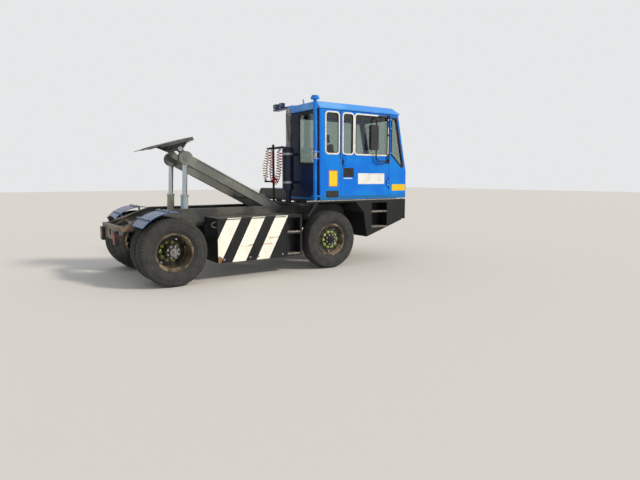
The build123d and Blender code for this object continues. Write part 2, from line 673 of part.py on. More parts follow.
def fifth_wheel():
    """The coupling plate: throat and ramps to the rear, kingpin lock, and lugs on the pivot pin."""
    wide = FIFTH_HALF_WIDTH
    horn = 120
    half_outline = (
        (FIFTH_FRONT, 0),
        (FIFTH_FRONT, wide - 190),
        (FIFTH_FRONT - 110, wide - 40),
        (FIFTH_FRONT - 220, wide),
        (-FIFTH_REAR + 120, wide),
        (-FIFTH_REAR, wide - 60),
        (-FIFTH_RAMP_REAR + 40, THROAT_HALF_WIDTH + horn + 35),
        (-FIFTH_RAMP_REAR, THROAT_HALF_WIDTH + horn),
        (-FIFTH_RAMP_REAR, THROAT_HALF_WIDTH + 40),
        (-FIFTH_REAR, THROAT_HALF_WIDTH - 40),
        (-KINGPIN_BACK - 120, THROAT_NECK),
        (-KINGPIN_BACK, THROAT_NECK),
        (-KINGPIN_BACK, 0),
    )
    top = FIFTH_TOP
    half_plate = top_prism(half_outline, top - FIFTH_PLATE, top)
    plate = half_plate + other_side(half_plate)
    # A rim stiffens the plate's edge from below.
    rim_inside = (
        (-FIFTH_REAR, wide - 90),
        (-FIFTH_REAR + 130, wide - 30),
        (FIFTH_FRONT - 228, wide - 30),
        (FIFTH_FRONT - 128, wide - 66),
        (FIFTH_FRONT - 30, wide - 206),
        (FIFTH_FRONT - 30, 0),
    )
    rim = top_prism(half_outline[:6] + rim_inside, top - FIFTH_SKIRT, top - FIFTH_PLATE)
    plate += rim + other_side(rim)
    lock = rod((-KINGPIN_BACK, 0, top - 70), (-KINGPIN_BACK, 0, top - 1), KINGPIN_LOCK_RADIUS)
    lock -= box((-KINGPIN_BACK - 200, -KINGPIN_BACK - 62), (-200, 200), (0, top + 10))
    plate += lock
    plate -= rod((-KINGPIN_BACK, 0, 0), (-KINGPIN_BACK, 0, top + 5), KINGPIN_RADIUS)
    mouth = JAW_MOUTH
    plate -= box((-KINGPIN_BACK - 300, -KINGPIN_BACK - KINGPIN_RADIUS * 0.75), (-mouth, mouth), (0, top + 5))
    # The ramps' tips slope down to the rear.
    ramp_end = -FIFTH_RAMP_REAR - 10
    plate -= side_prism(((ramp_end, top - 22), (ramp_end, top + 5), (-FIFTH_REAR, top + 5),
                         (-FIFTH_REAR, top)), -wide, wide)
    for side in (-1, 1):
        y_low, y_high = sorted((side * (FIFTH_LUG_Y - FIFTH_LUG_PLATE), side * FIFTH_LUG_Y))
        lug = side_prism(((-40, -25), (40, -25), (190, top - FIFTH_SKIRT + 10), (190, top - 10), (-210, top - 10),
                          (-210, top - FIFTH_SKIRT + 10)), y_low, y_high)
        lug += across(0, 0, 46, y_low, y_high)
        plate += lug
    plate += across(0, 0, FIFTH_PIN_RADIUS, -FIFTH_LUG_Y, FIFTH_LUG_Y)
    # The release handle reaches out to the front right.
    handle = rod((150, -60, top - 48), (232, -330, top - 48), 11)
    plate += handle + rod((226, -325, top - 48), (268, -318, top - 48), 11)
    return on_fifth(plate)


# Axles, springs and steering


def front_axle():
    x = WHEELBASE
    half_depth = FRONT_BEAM_DEPTH / 2
    half_width = FRONT_BEAM_WIDTH / 2
    end_low = AXLE_Z - BEAM_END_HEIGHT / 2
    end_high = AXLE_Z + BEAM_END_HEIGHT / 2
    low, high = FRONT_BEAM_Z - half_depth, FRONT_BEAM_Z + half_depth
    bend, rise = KINGPIN_Y - 340, 160
    side = ((0, low), (bend, low), (bend + rise, end_low), (KINGPIN_Y, end_low), (KINGPIN_Y, end_high),
            (bend + rise - 20, end_high), (bend - 20, high), (0, high))
    beam = rear_prism(side, x - half_width, x + half_width)
    groove = rectangle((-1, bend - 20), (low + 20, high - 20))
    for side in (-1, 1):
        x_low, x_high = sorted((x + side * (half_width + 1), x + side * (half_width - 30)))
        beam -= rear_prism(groove, x_low, x_high)
    beam += rod((x, KINGPIN_Y, end_low), (x, KINGPIN_Y, end_high), KNUCKLE_BOSS_RADIUS)
    pad = box((x - 70, x + 70), (RAIL_Y - SPRING_WIDTH / 2, RAIL_Y + SPRING_WIDTH / 2),
              (high - 5, spring_bottom()))
    beam += pad
    pin_reach = KNUCKLE_BOSS_HEIGHT / 2 - 2
    beam += rod((x, KINGPIN_Y, AXLE_Z - pin_reach), (x, KINGPIN_Y, AXLE_Z + pin_reach), KNUCKLE_PIN_RADIUS)
    return beam + other_side(beam)


def spring_bottom():
    return FRONT_BEAM_Z + FRONT_BEAM_DEPTH / 2 + 12


def front_springs():
    """Leaf packs: each leaf is an arc, shorter towards the bottom, fused into one stepped pack."""
    x = WHEELBASE
    packs = None
    height = SPRING_LEAF * SPRING_LEAF_COUNT
    top = spring_bottom() + height
    radius = (SPRING_HALF_LENGTH ** 2 + SPRING_SAG ** 2) / (2 * SPRING_SAG)
    centre_z = top + radius
    low, high = RAIL_Y - SPRING_WIDTH / 2, RAIL_Y + SPRING_WIDTH / 2
    for leaf in range(SPRING_LEAF_COUNT):
        outer = radius + SPRING_LEAF * (leaf + 1)
        inner = radius + SPRING_LEAF * leaf
        ring = across(x, centre_z, outer, low, high) - across(x, centre_z, inner, low - 1, high + 1)
        reach = SPRING_HALF_LENGTH * (1 - 0.14 * leaf)
        ring = ring & box((x - reach, x + reach), (low - 1, high + 1), (0, top + SPRING_SAG + 40))
        packs = ring if packs is None else packs + ring
    eye_z = top + SPRING_SAG
    for side in (-1, 1):
        packs += across(x + side * SPRING_HALF_LENGTH, eye_z - 4, 30, low, high)
        hanger = side_prism(((x + side * SPRING_HALF_LENGTH - 26, eye_z), (x + side * SPRING_HALF_LENGTH + 26, eye_z),
                             (x + side * SPRING_HALF_LENGTH + 40, RAIL_BOTTOM),
                             (x + side * SPRING_HALF_LENGTH - 40, RAIL_BOTTOM)), low + 8, high - 8)
        packs += hanger
    return both_sides(packs)


def knuckle_left():
    """The fork that turns on the kingpin, with the hub's stub and the steering arm."""
    x = WHEELBASE
    reach = KNUCKLE_BOSS_HEIGHT / 2
    gap = BEAM_END_HEIGHT / 2 + 2
    shape = rod((x, KINGPIN_Y, AXLE_Z + gap), (x, KINGPIN_Y, AXLE_Z + reach), KNUCKLE_BOSS_RADIUS)
    shape += rod((x, KINGPIN_Y, AXLE_Z - reach), (x, KINGPIN_Y, AXLE_Z - gap), KNUCKLE_BOSS_RADIUS)
    plate_y = KINGPIN_Y + KNUCKLE_BOSS_RADIUS + PIN_CLEARANCE * 2
    for sign in (-1, 1):
        z_low, z_high = sorted((AXLE_Z + sign * gap, AXLE_Z + sign * reach))
        shape += box((x - 45, x + 45), (KINGPIN_Y, plate_y + 2), (z_low, z_high))
    bore = KNUCKLE_PIN_RADIUS + PIN_CLEARANCE
    shape -= rod((x, KINGPIN_Y, STEER_ARM_TOP), (x, KINGPIN_Y, AXLE_Z + 200), bore)
    shape += box((x - 60, x + 60), (plate_y, plate_y + 5), (AXLE_Z - reach, AXLE_Z + reach))
    shape += across(x, AXLE_Z, SPINDLE_RADIUS, plate_y, FRONT_TYRE_Y + HUB_RADIUS / 3)
    arm_z = (STEER_ARM_TOP - STEER_ARM_THICKNESS, STEER_ARM_TOP)
    end_x = x - STEER_ARM_LENGTH
    shape += rod((x, KINGPIN_Y, arm_z[0]), (x, KINGPIN_Y, arm_z[1]), KNUCKLE_BOSS_RADIUS - 8)
    shape += box((end_x, x), (KINGPIN_Y - 26, KINGPIN_Y + 26), arm_z)
    shape += rod((end_x, KINGPIN_Y, arm_z[0]), (end_x, KINGPIN_Y, arm_z[1]), 26)
    return shape - rod((end_x, KINGPIN_Y, 0), (end_x, KINGPIN_Y, STEER_ARM_TOP + 1), STEER_STUD_RADIUS)


def tie_rod():
    """The bar that joins the two steering arms, a stud up through each arm's end."""
    x = WHEELBASE - STEER_ARM_LENGTH
    z = STEER_ARM_TOP - STEER_ARM_THICKNESS - 2 - BALL_RADIUS
    shape = rod((x, -KINGPIN_Y, z), (x, KINGPIN_Y, z), TIE_ROD_RADIUS)
    for side in (-1, 1):
        y = side * KINGPIN_Y
        shape += rod((x, y, z - BALL_RADIUS), (x, y, z + BALL_RADIUS), BALL_RADIUS)
        shape += rod((x, y, z), (x, y, STEER_ARM_TOP + 12), STEER_STUD_RADIUS - PIN_CLEARANCE)
    return shape


def rear_axle():
    end = INNER_TYRE_Y - DRUM_REACH - 6
    shape = across(0, AXLE_Z, REAR_TUBE_RADIUS, -end, end)
    shape += across(0, AXLE_Z, SPINDLE_RADIUS, -DUAL_MIDDLE_Y, DUAL_MIDDLE_Y)
    shape += Pos(0, 0, AXLE_Z) * Sphere(DIFF_RADIUS)
    shape += rod((-DIFF_RADIUS - 12, 0, AXLE_Z), (0, 0, AXLE_Z), 120)
    shape += rod((0, 0, AXLE_Z), (DIFF_RADIUS + PINION_REACH, 0, AXLE_Z), 85)
    for side in (-1, 1):
        y_low, y_high = sorted((side * (RAIL_INNER_Y + 6), side * (RAIL_OUTER_Y - 6)))
        shape += box((-78, 78), (y_low, y_high), (AXLE_Z - 60, RAIL_BOTTOM))
        shape += across(0, AXLE_Z, 130, *sorted((side * (end - 24), side * end)))
    return shape


def driveshaft():
    rear_x = DIFF_RADIUS + PINION_REACH
    start = (rear_x + YOKE_LENGTH - 10, 0, AXLE_Z)
    end = (SHAFT_FRONT_X - YOKE_LENGTH + 10, 0, SHAFT_FRONT_Z)
    shape = rod(start, end, SHAFT_RADIUS)
    shape += rod((rear_x, 0, AXLE_Z), (rear_x + YOKE_LENGTH, 0, AXLE_Z), YOKE_RADIUS)
    front_x = SHAFT_FRONT_X - YOKE_LENGTH
    return shape + rod((front_x, 0, SHAFT_FRONT_Z), (SHAFT_FRONT_X, 0, SHAFT_FRONT_Z), YOKE_RADIUS)


def engine_block():
    gearbox = box((SHAFT_FRONT_X, ENGINE["x"][0]), (-120, 120), (SHAFT_FRONT_Z - 70, SHAFT_FRONT_Z + 185))
    return box(**ENGINE) + box(**ENGINE_TOP) + gearbox


def engine_hood():
    """The low cover left of the cab: an open-bottomed shell with a louvred front and a sloped edge."""
    low_y = CAB_LEFT_Y + 12
    high_y = BODY_SIDE_Y
    slope = 90
    outline = ((low_y, HOOD_BASE_Z), (high_y, HOOD_BASE_Z), (high_y, HOOD_TOP_Z - slope), (high_y - slope, HOOD_TOP_Z),
               (low_y, HOOD_TOP_Z))
    wall = HOOD_WALL
    hollow = ((low_y + wall, HOOD_BASE_Z - 1), (high_y - wall, HOOD_BASE_Z - 1),
              (high_y - wall, HOOD_TOP_Z - slope - wall * 0.4), (high_y - slope - wall * 0.4, HOOD_TOP_Z - wall),
              (low_y + wall, HOOD_TOP_Z - wall))
    rear_x, front_x = CAB_REAR_X + 10, CAB_FRONT_X - 10
    shape = rear_prism(outline, rear_x, front_x)
    shape -= rear_prism(hollow, rear_x + wall, front_x - wall)
    for number in range(4):
        z = HOOD_BASE_Z + 38 + number * 34
        shape -= box((front_x - wall - 1, front_x + 1), (low_y + 160, high_y - 160), (z, z + 16))
    return shape


# Lower body


def step_frame_left():
    """The black box under the cab with the step well, and the strip over the wheel."""
    outer = BODY_SIDE_Y
    shape = side_prism(STEP_PROFILE, STEP_INNER_Y, outer)
    shape -= side_prism(STEP_HOLLOW, STEP_INNER_Y - 1, outer - STEP_WALL)
    for x in STEP_BEAM_X:
        shape += box((x, x + 60), (RAIL_OUTER_Y, outer - 2), (RAIL_TOP - 60, RAIL_TOP))
    for z_low, z_high in STEP_WELL_Z:
        well = box(STEP_WELL_X, (outer - STEP_WELL_DEPTH, outer + 1), (z_low, z_high))
        shell_x = (STEP_WELL_X[0] - 12, STEP_WELL_X[1] + 12)
        shell = box(shell_x, (outer - STEP_WELL_DEPTH - 12, outer), (z_low - 15, z_high + 15))
        shape += shell
        shape -= well
    return shape


def sill_rails():
    """The angle bars under the body sides, each with the strip of the wheel arch that hangs from it."""
    outer = BODY_SIDE_Y
    low = CATWALK_X[1] - 290
    bar = box((low, BUMPER_X[0]), (outer - 12, outer), (SILL_Z, SILL_Z + SILL_HEIGHT))
    top = SILL_Z + SILL_HEIGHT
    flange = box((low, BUMPER_X[0]), (outer - SILL_FLANGE, outer), (top - 8, top))
    strip = side_prism(ARCH_REAR_PROFILE, outer - 60, outer)
    return both_sides(bar + flange + strip)


def side_cabinet():
    """The box between the wheels on the right, with two steps cut into its forward end."""
    y_low, y_high = -BODY_SIDE_Y, -BODY_SIDE_Y + CABINET_DEPTH
    shape = box(CABINET_X, (y_low, y_high), CABINET_Z)
    for z_low, z_high in CABINET_STEP_Z:
        shape -= box(CABINET_STEP_X, (y_low - 1, y_low + CABINET_STEP_DEPTH), (z_low, z_high))
    for x in (CABINET_X[0] + 640, CABINET_STEP_X[0] - 30):
        shape -= box((x, x + 6), (y_low - 1, y_low + 4), (CABINET_Z[0] + 30, CABINET_Z[1] - 30))
    for x in (CABINET_X[0] + 120, CABINET_X[1] - 220):
        shape += box((x, x + 100), (y_high, -RAIL_OUTER_Y), (RAIL_BOTTOM + 20, RAIL_TOP - 150))
    return shape


def fuel_tank():
    """The rounded tank on the left, with its straps and the brackets to the rail."""
    y_high = BODY_SIDE_Y - 15
    y_low = y_high - TANK_DEPTH
    shape = rear_prism(rectangle((y_low, y_high), TANK_Z), *TANK_X, corner=TANK_CORNER)
    for x in (TANK_X[0] + 200, TANK_X[1] - 270):
        strap = rear_prism(rectangle((y_low - 8, y_high + 8), (TANK_Z[0] - 8, TANK_Z[1] + 8)), x, x + 70,
                           corner=TANK_CORNER + 8)
        shape += strap
        shape += box((x, x + 70), (RAIL_OUTER_Y, y_low + 60), (RAIL_BOTTOM + 20, TANK_Z[1] - 60))
    cap_x, cap_y = TANK_X[1] - 140, y_high - 120
    shape += rod((cap_x, cap_y, TANK_Z[1] - 5), (cap_x, cap_y, TANK_Z[1] + 45), 48)
    return shape


def air_tanks():
    """Two air reservoirs across the frame, ahead of the rear cross beam."""
    tanks = []
    for x in (1250, 1430):
        tank = across(x, 760, 82, -360, 360)
        tank += across(x, 760, 60, -378, 378)
        tank += box((x - 20, x + 20), (-RAIL_INNER_Y, RAIL_INNER_Y), (RAIL_BOTTOM - 35, RAIL_BOTTOM - 20))
        for side in (-1, 1):
            y_low, y_high = sorted((side * (RAIL_INNER_Y - 5), side * (RAIL_INNER_Y + 40)))
            tank += box((x - 20, x + 20), (y_low, y_high), (RAIL_BOTTOM - 35, RAIL_BOTTOM))
        tanks.append(tank)
    return group(*tanks)


def front_bumper():
    """The plate across the front, its ends swept back."""
    outer = BODY_SIDE_Y
    x_low, x_high = BUMPER_X
    depth = x_high - x_low
    outline = ((x_low, -outer), (x_high - depth * 0.55, -outer), (x_high, -outer + BUMPER_END_CUT),
               (x_high, outer - BUMPER_END_CUT), (x_high - depth * 0.55, outer), (x_low, outer))
    shape = top_prism(outline, *BUMPER_Z)
    inner = ((x_low - 1, -outer + 25), (x_low + 25, -outer + 25), (x_high - 22, -outer + BUMPER_END_CUT + 15),
             (x_high - 22, outer - BUMPER_END_CUT - 15), (x_low + 25, outer - 25), (x_low - 1, outer - 25))
    shape -= top_prism(inner, BUMPER_Z[0] - 1, BUMPER_Z[1] - 20)
    for side in (-1, 1):
        y_low, y_high = sorted((side * RAIL_INNER_Y, side * RAIL_OUTER_Y))
        shape += box((RAIL_FRONT_X, x_high - 10), (y_low, y_high), (RAIL_BOTTOM + 20, RAIL_TOP - 20))
        y_low, y_high = sorted((side * (LAMP_Y[0] - LAMP_GAP), side * (LAMP_Y[1] + LAMP_GAP)))
        z_low, z_high = LAMP_Z[0] - LAMP_GAP, LAMP_Z[1] + LAMP_GAP
        shape -= box((x_high - LAMP_RECESS, x_high + 1), (y_low, y_high), (z_low, z_high))
    return shape


def headlamps():
    parts = []
    for side in (-1, 1):
        y_low, y_high = sorted((side * LAMP_Y[0], side * LAMP_Y[1]))
        parts.append(box((BUMPER_X[1] - LAMP_RECESS, BUMPER_X[1] - 2), (y_low, y_high), LAMP_Z))
    return group(*parts)


def tail_lamps():
    """The lamp boxes on the tail beam's rear face, and the side lamp on each."""
    parts = []
    for side in (-1, 1):
        y = side * TAIL_LAMP_Y
        z = RAMP_END_Z - TAIL_BEAM_DROP
        body = box((REAR_X, TAIL_BEAM_X), (y - 85, y + 85), (z - 60, z + 165))
        outer_low, outer_high = sorted((y + side * 85, y + side * 110))
        body += box((REAR_X + 10, TAIL_BEAM_X - 5), (outer_low, outer_high), (z + 60, z + 130))
        parts.append(body)
    return group(*parts)


def rear_fenders():
    """Curved sheets over the upper rear of the twin tyres, on two brackets from the rail."""
    low, high = FENDER_INNER_Y, FENDER_OUTER_Y
    ring = across(0, AXLE_Z, FENDER_RADIUS + FENDER_THICKNESS, low, high)
    ring -= across(0, AXLE_Z, FENDER_RADIUS, low - 1, high + 1)
    start, end = (radians(value) for value in FENDER_ARC)
    reach = 900
    wedge = ((0, AXLE_Z), (reach * cos(start), AXLE_Z + reach * sin(start)),
             (reach * cos((start + end) / 2), AXLE_Z + reach * 1.2),
             (reach * cos(end) * 1.2, AXLE_Z + reach * sin(end) * 1.2))
    sheet = ring & side_prism(wedge, low - 5, high + 5)
    stay = FENDER_STAY_RADIUS
    middle = FENDER_RADIUS + FENDER_THICKNESS + stay - 3
    for turn in (95, 125):
        x = middle * cos(radians(turn))
        z = AXLE_Z + middle * sin(radians(turn))
        sheet += across(x, z, stay, RAIL_OUTER_Y, high - 60)
        foot_z = (rail_top_at(x) - 70, z + stay - 2)
        sheet += box((x - stay, x + stay), (RAIL_OUTER_Y, RAIL_OUTER_Y + 24), foot_z)
    return both_sides(sheet)


def rail_top_at(x):
    """The height of the rail's top, which falls towards the rear as a ramp."""
    fall = (RAIL_TOP - RAMP_END_Z) / (RAMP_START_X - RAIL_REAR_X)
    return RAIL_TOP - max(0, RAMP_START_X - x) * fall


# Cab


def cab_mounts():
    """Cross beams that carry the cab floor on the rails."""
    beams = []
    right = -BODY_SIDE_Y + SILL_FLANGE
    floor_z = CAB_BASE_Z - FLOOR_THICKNESS
    for x, left in CAB_MOUNTS:
        beam = box((x, x + 90), (right, min(left, CAB_LEFT_Y)), (SILL_Z, floor_z))
        if left > CAB_LEFT_Y:
            beam += box((x, x + 90), (CAB_LEFT_Y, left), (SILL_Z, HOOD_BASE_Z))
        for side in (-1, 1):
            y_low, y_high = sorted((side * RAIL_INNER_Y, side * RAIL_OUTER_Y))
            if y_low < left:
                beam += box((x, x + 90), (y_low, y_high), (RAIL_TOP, SILL_Z))
        beams.append(beam)
    return group(*beams)


def cab_floor():
    low_z = CAB_BASE_Z - FLOOR_THICKNESS
    return box((CAB_REAR_X, CAB_FRONT_X), (CAB_RIGHT_Y, CAB_LEFT_Y), (low_z, CAB_BASE_Z))


def side_outline():
    """The side wall's outline: upright, with a front edge that leans back above the bonnet line."""
    return ((CAB_REAR_X, CAB_BASE_Z), (CAB_FRONT_X, CAB_BASE_Z), (CAB_FRONT_X, SCREEN_BASE_Z),
            (SCREEN_TOP_X, ROOF_BASE_Z), (CAB_REAR_X, ROOF_BASE_Z))


def cab_right_side():
    """The fixed parts of the right wall, ahead of the door and behind it."""
    y_low, y_high = CAB_RIGHT_Y, CAB_RIGHT_Y + CAB_WALL
    wall = side_prism(side_outline(), y_low, y_high)
    wall -= box((DOOR_REAR_X, DOOR_FRONT_X), (y_low - 1, y_high + 1), (0, ROOF_BASE_Z + 1))
    pane = rectangle(REAR_PANE_X, (WINDOW_BASE_Z, WINDOW_TOP_Z))
    wall -= side_prism(pane, y_low - 1, y_high + 1, PANE_CORNER)
    wall -= side_prism(QUARTER_PANE, y_low - 1, y_high + 1, 12)
    for z in HINGE_Z:
        for low, high in ((z - 40, z), (z + HINGE_HEIGHT, z + HINGE_HEIGHT + 40)):
            eye = rod((hinge_x(), hinge_y(), low), (hinge_x(), hinge_y(), high), HINGE_RADIUS)
            eye += box((hinge_x(), hinge_x() + 45), (hinge_y() - 3, CAB_RIGHT_Y), (low, high))
            wall += eye
        wall += rod((hinge_x(), hinge_y(), z - 10), (hinge_x(), hinge_y(), z + HINGE_HEIGHT + 10), 5)
    return wall


def hinge_x():
    return DOOR_FRONT_X + 2


def hinge_y():
    return CAB_RIGHT_Y - HINGE_RADIUS


def cab_left_side():
    y_low, y_high = CAB_LEFT_Y - CAB_WALL, CAB_LEFT_Y
    wall = side_prism(side_outline(), y_low, y_high)
    pane = rectangle(LEFT_PANE_X, (LEFT_PANE_BASE_Z, WINDOW_TOP_Z))
    wall -= side_prism(pane, y_low - 1, y_high + 1, PANE_CORNER)
    return wall - side_prism(QUARTER_PANE, y_low - 1, y_high + 1, 12)


def inner_y():
    """The cab's inside, from wall to wall."""
    return CAB_RIGHT_Y + CAB_WALL, CAB_LEFT_Y - CAB_WALL


def cab_rear_wall():
    y_low, y_high = inner_y()
    wall = box((CAB_REAR_X, CAB_REAR_X + CAB_WALL), (y_low, y_high), (CAB_BASE_Z, ROOF_BASE_Z))
    pane = rectangle(REAR_WINDOW_Y, REAR_WINDOW_Z)
    return wall - rear_prism(pane, CAB_REAR_X - 1, CAB_REAR_X + CAB_WALL + 1, PANE_CORNER)


def cab_front():
    """The front panel with the windscreen's surround above it."""
    y_low, y_high = inner_y()
    wall = CAB_WALL
    lower = box((CAB_FRONT_X - wall, CAB_FRONT_X), (y_low, y_high), (CAB_BASE_Z, SCREEN_BASE_Z))
    outline = ((CAB_FRONT_X - wall, SCREEN_BASE_Z), (CAB_FRONT_X, SCREEN_BASE_Z), (SCREEN_TOP_X, ROOF_BASE_Z),
               (SCREEN_TOP_X - wall, ROOF_BASE_Z))
    upper = side_prism(outline, y_low, y_high)
    opening = rear_prism(rectangle((y_low + SCREEN_MARGIN - 20, y_high - SCREEN_MARGIN + 20),
                                   (SCREEN_BASE_Z + 60, ROOF_BASE_Z - 65)), SCREEN_TOP_X - 200, CAB_FRONT_X + 50, 70)
    return lower + (upper - opening)


def cab_roof():
    """The roof: an open-bottomed tray whose sides lean in to a flat top."""
    x_low, x_high = CAB_REAR_X - 20, SCREEN_TOP_X + 30
    y_low, y_high = CAB_RIGHT_Y - 6, CAB_LEFT_Y + 6
    low = ROOF_BASE_Z
    cut = ROOF_CHAMFER
    outline = ((y_low, low), (y_high, low), (y_high, low + 25), (y_high - cut, ROOF_TOP_Z),
               (y_low + cut, ROOF_TOP_Z), (y_low, low + 25))
    shape = rear_prism(outline, x_low, x_high)
    shape -= side_prism(((x_high + 1, low + 30), (x_high + 1, ROOF_TOP_Z + 1), (x_high - 120, ROOF_TOP_Z + 1)),
                        y_low - 1, y_high + 1)
    wall = 30
    hollow = ((y_low + wall + 12, low - 1), (y_high - wall - 12, low - 1), (y_high - wall - 12, low + 10),
              (y_high - cut - wall, ROOF_TOP_Z - wall), (y_low + cut + wall, ROOF_TOP_Z - wall),
              (y_low + wall + 12, low + 10))
    shape -= rear_prism(hollow, x_low + 55, x_high - 150)
    stub = rod((CAB_REAR_X + 15, -640, ROOF_TOP_Z - 5), (CAB_REAR_X + 5, -625, ROOF_TOP_Z + 85), 14)
    return shape + stub


def pane(points, y, corner):
    """A pane that fills its opening up to a small gap."""
    face = offset(side_face(points, corner), -PANE_GAP)
    return extrude(Plane.XZ.offset(-y) * face, -GLASS_THICKNESS)


def cab_glass():
    """The fixed panes: screen, quarter lights, left window, rear side window and rear window."""
    right = CAB_RIGHT_Y + GLASS_INSET
    left = CAB_LEFT_Y - GLASS_INSET - GLASS_THICKNESS
    panes = [
        pane(rectangle(REAR_PANE_X, (WINDOW_BASE_Z, WINDOW_TOP_Z)), right, PANE_CORNER),
        pane(QUARTER_PANE, right, 12),
        pane(rectangle(LEFT_PANE_X, (LEFT_PANE_BASE_Z, WINDOW_TOP_Z)), left, PANE_CORNER),
        pane(QUARTER_PANE, left, 12),
    ]
    face = offset(side_face(rectangle(REAR_WINDOW_Y, REAR_WINDOW_Z), PANE_CORNER), -PANE_GAP)
    panes.append(extrude(Plane.YZ.offset(CAB_REAR_X + GLASS_INSET) * face, GLASS_THICKNESS))
    y_low, y_high = inner_y()
    face = offset(side_face(rectangle((y_low + SCREEN_MARGIN - 20, y_high - SCREEN_MARGIN + 20),
                                      (SCREEN_BASE_Z + 60, ROOF_BASE_Z - 65)), 70), -PANE_GAP)
    column = extrude(Plane.YZ.offset(SCREEN_TOP_X - 200) * face, 500)
    slab = side_prism(((CAB_FRONT_X - GLASS_INSET - GLASS_THICKNESS, SCREEN_BASE_Z),
                       (CAB_FRONT_X - GLASS_INSET, SCREEN_BASE_Z),
                       (SCREEN_TOP_X - GLASS_INSET, ROOF_BASE_Z),
                       (SCREEN_TOP_X - GLASS_INSET - GLASS_THICKNESS, ROOF_BASE_Z)), y_low, y_high)
    panes.append(column & slab)
    return group(*panes)


def door():
    """The side door, as thick as the wall, with two windows, hinge eyes and a pull handle."""
    y_low, y_high = CAB_RIGHT_Y, CAB_RIGHT_Y + CAB_WALL
    x_low, x_high = DOOR_REAR_X + SEAM, DOOR_FRONT_X - SEAM
    shape = box((x_low, x_high), (y_low, y_high), (CAB_BASE_Z + SEAM, ROOF_BASE_Z - SEAM))
    for pane_x in (DOOR_SMALL_PANE_X, DOOR_LARGE_PANE_X):
        pane = rectangle(pane_x, (WINDOW_BASE_Z, WINDOW_TOP_Z))
        shape -= side_prism(pane, y_low - 1, y_high + 1, PANE_CORNER)
    for z in HINGE_Z:
        gap = 3
        x, y = hinge_x(), hinge_y()
        eye = rod((x, y, z + gap), (x, y, z + HINGE_HEIGHT - gap), HINGE_RADIUS)
        eye += box((hinge_x() - 55, hinge_x()), (hinge_y() - 3, y_low), (z + gap, z + HINGE_HEIGHT - gap))
        eye -= rod((x, y, z - 5), (x, y, z + HINGE_HEIGHT + 5), 5 + PIN_CLEARANCE)
        shape += eye
    grab_x = DOOR_REAR_X + 75
    grab_y = CAB_RIGHT_Y - 45
    shape += rod((grab_x, grab_y, 1870), (grab_x, grab_y, 2090), 11)
    for z in (1880, 2080):
        shape += rod((grab_x, grab_y, z), (grab_x, y_low + 1, z), 11)
    return shape


def door_glass():
    right = CAB_RIGHT_Y + GLASS_INSET
    panes = [pane(rectangle(x, (WINDOW_BASE_Z, WINDOW_TOP_Z)), right, PANE_CORNER)
             for x in (DOOR_SMALL_PANE_X, DOOR_LARGE_PANE_X)]
    return group(*panes)


def mirror_arm():
    """A tall bowed rod on the door with the mirror's head folded along it."""
    foot_x = DOOR_FRONT_X - 45
    rod_x = foot_x - 335
    out_y = CAB_RIGHT_Y - 58
    foot_y = CAB_RIGHT_Y - 14
    z_low, z_high = 1985, ROOF_BASE_Z - 55
    shape = rod((rod_x, out_y, z_low + 60), (rod_x, out_y, z_high - 60), 12)
    for z, turn in ((z_low, 60), (z_high, -60)):
        shape += box((foot_x - 30, foot_x + 25), (foot_y - 8, CAB_RIGHT_Y), (z - 30, z + 30))
        shape += rod((foot_x, foot_y, z), (foot_x - 60, out_y, z), 12)
        shape += rod((foot_x - 60, out_y, z), (rod_x + 60, out_y, z), 12)
        shape += rod((rod_x + 60, out_y, z), (rod_x, out_y, z + turn), 12)
        for bend in ((foot_x - 60, out_y, z), (rod_x + 60, out_y, z), (rod_x, out_y, z + turn)):
            shape += Pos(*bend) * Sphere(12)
    head_z = (z_low + 205, z_high - 175)
    head = side_prism(rectangle((rod_x - 150, rod_x + 40), head_z), out_y - 22, out_y + 38, 35)
    return shape + head


def seat():
    """A sprung driver's seat: pedestal, cushion, back and headrest."""
    middle = (inner_y()[0] + inner_y()[1]) / 2
    x = CAB_FRONT_X - 1530
    base = CAB_BASE_Z
    shape = box((x, x + 420), (middle - 170, middle + 170), (base, base + 320))
    cushion = side_prism(((x - 20, base + 290), (x + 480, base + 310), (x + 500, base + 400), (x + 470, base + 430),
                          (x - 20, base + 400)), middle - 245, middle + 245)
    back = side_prism(((x - 30, base + 400), (x + 95, base + 400), (x - 20, base + 1010), (x - 120, base + 1010)),
                      middle - 230, middle + 230)
    head = side_prism(((x - 118, base + 1010), (x - 25, base + 1010), (x - 40, base + 1190), (x - 125, base + 1190)),
                      middle - 140, middle + 140)
    return shape + cushion + back + head


def dash():
    """The instrument console under the windscreen."""
    y_low, y_high = inner_y()
    base = CAB_BASE_Z
    x = CAB_FRONT_X - 500
    outline = ((x + 50, base), (CAB_FRONT_X - CAB_WALL, base), (CAB_FRONT_X - CAB_WALL, SCREEN_BASE_Z),
               (x + 320, SCREEN_BASE_Z + 60), (x + 20, SCREEN_BASE_Z - 60), (x, SCREEN_BASE_Z - 160),
               (x + 160, SCREEN_BASE_Z - 260))
    return side_prism(outline, y_low + 10, y_high - 10)


def steering_wheel():
    middle = (inner_y()[0] + inner_y()[1]) / 2
    lean = 32
    place = Pos(CAB_FRONT_X - 670, middle, SCREEN_BASE_Z + 125) * Rot(0, -lean, 0)
    shape = place * Torus(205, 14)
    shape += place * Pos(0, 0, -20) * Cylinder(48, 46)
    for turn in (90, 210, 330):
        shape += place * Rot(0, 0, turn) * Pos(105, 0, -6) * Box(200, 26, 14)
    return shape + place * Pos(0, 0, -190) * Cylinder(28, 340)


# Stacks, lamps and hoses


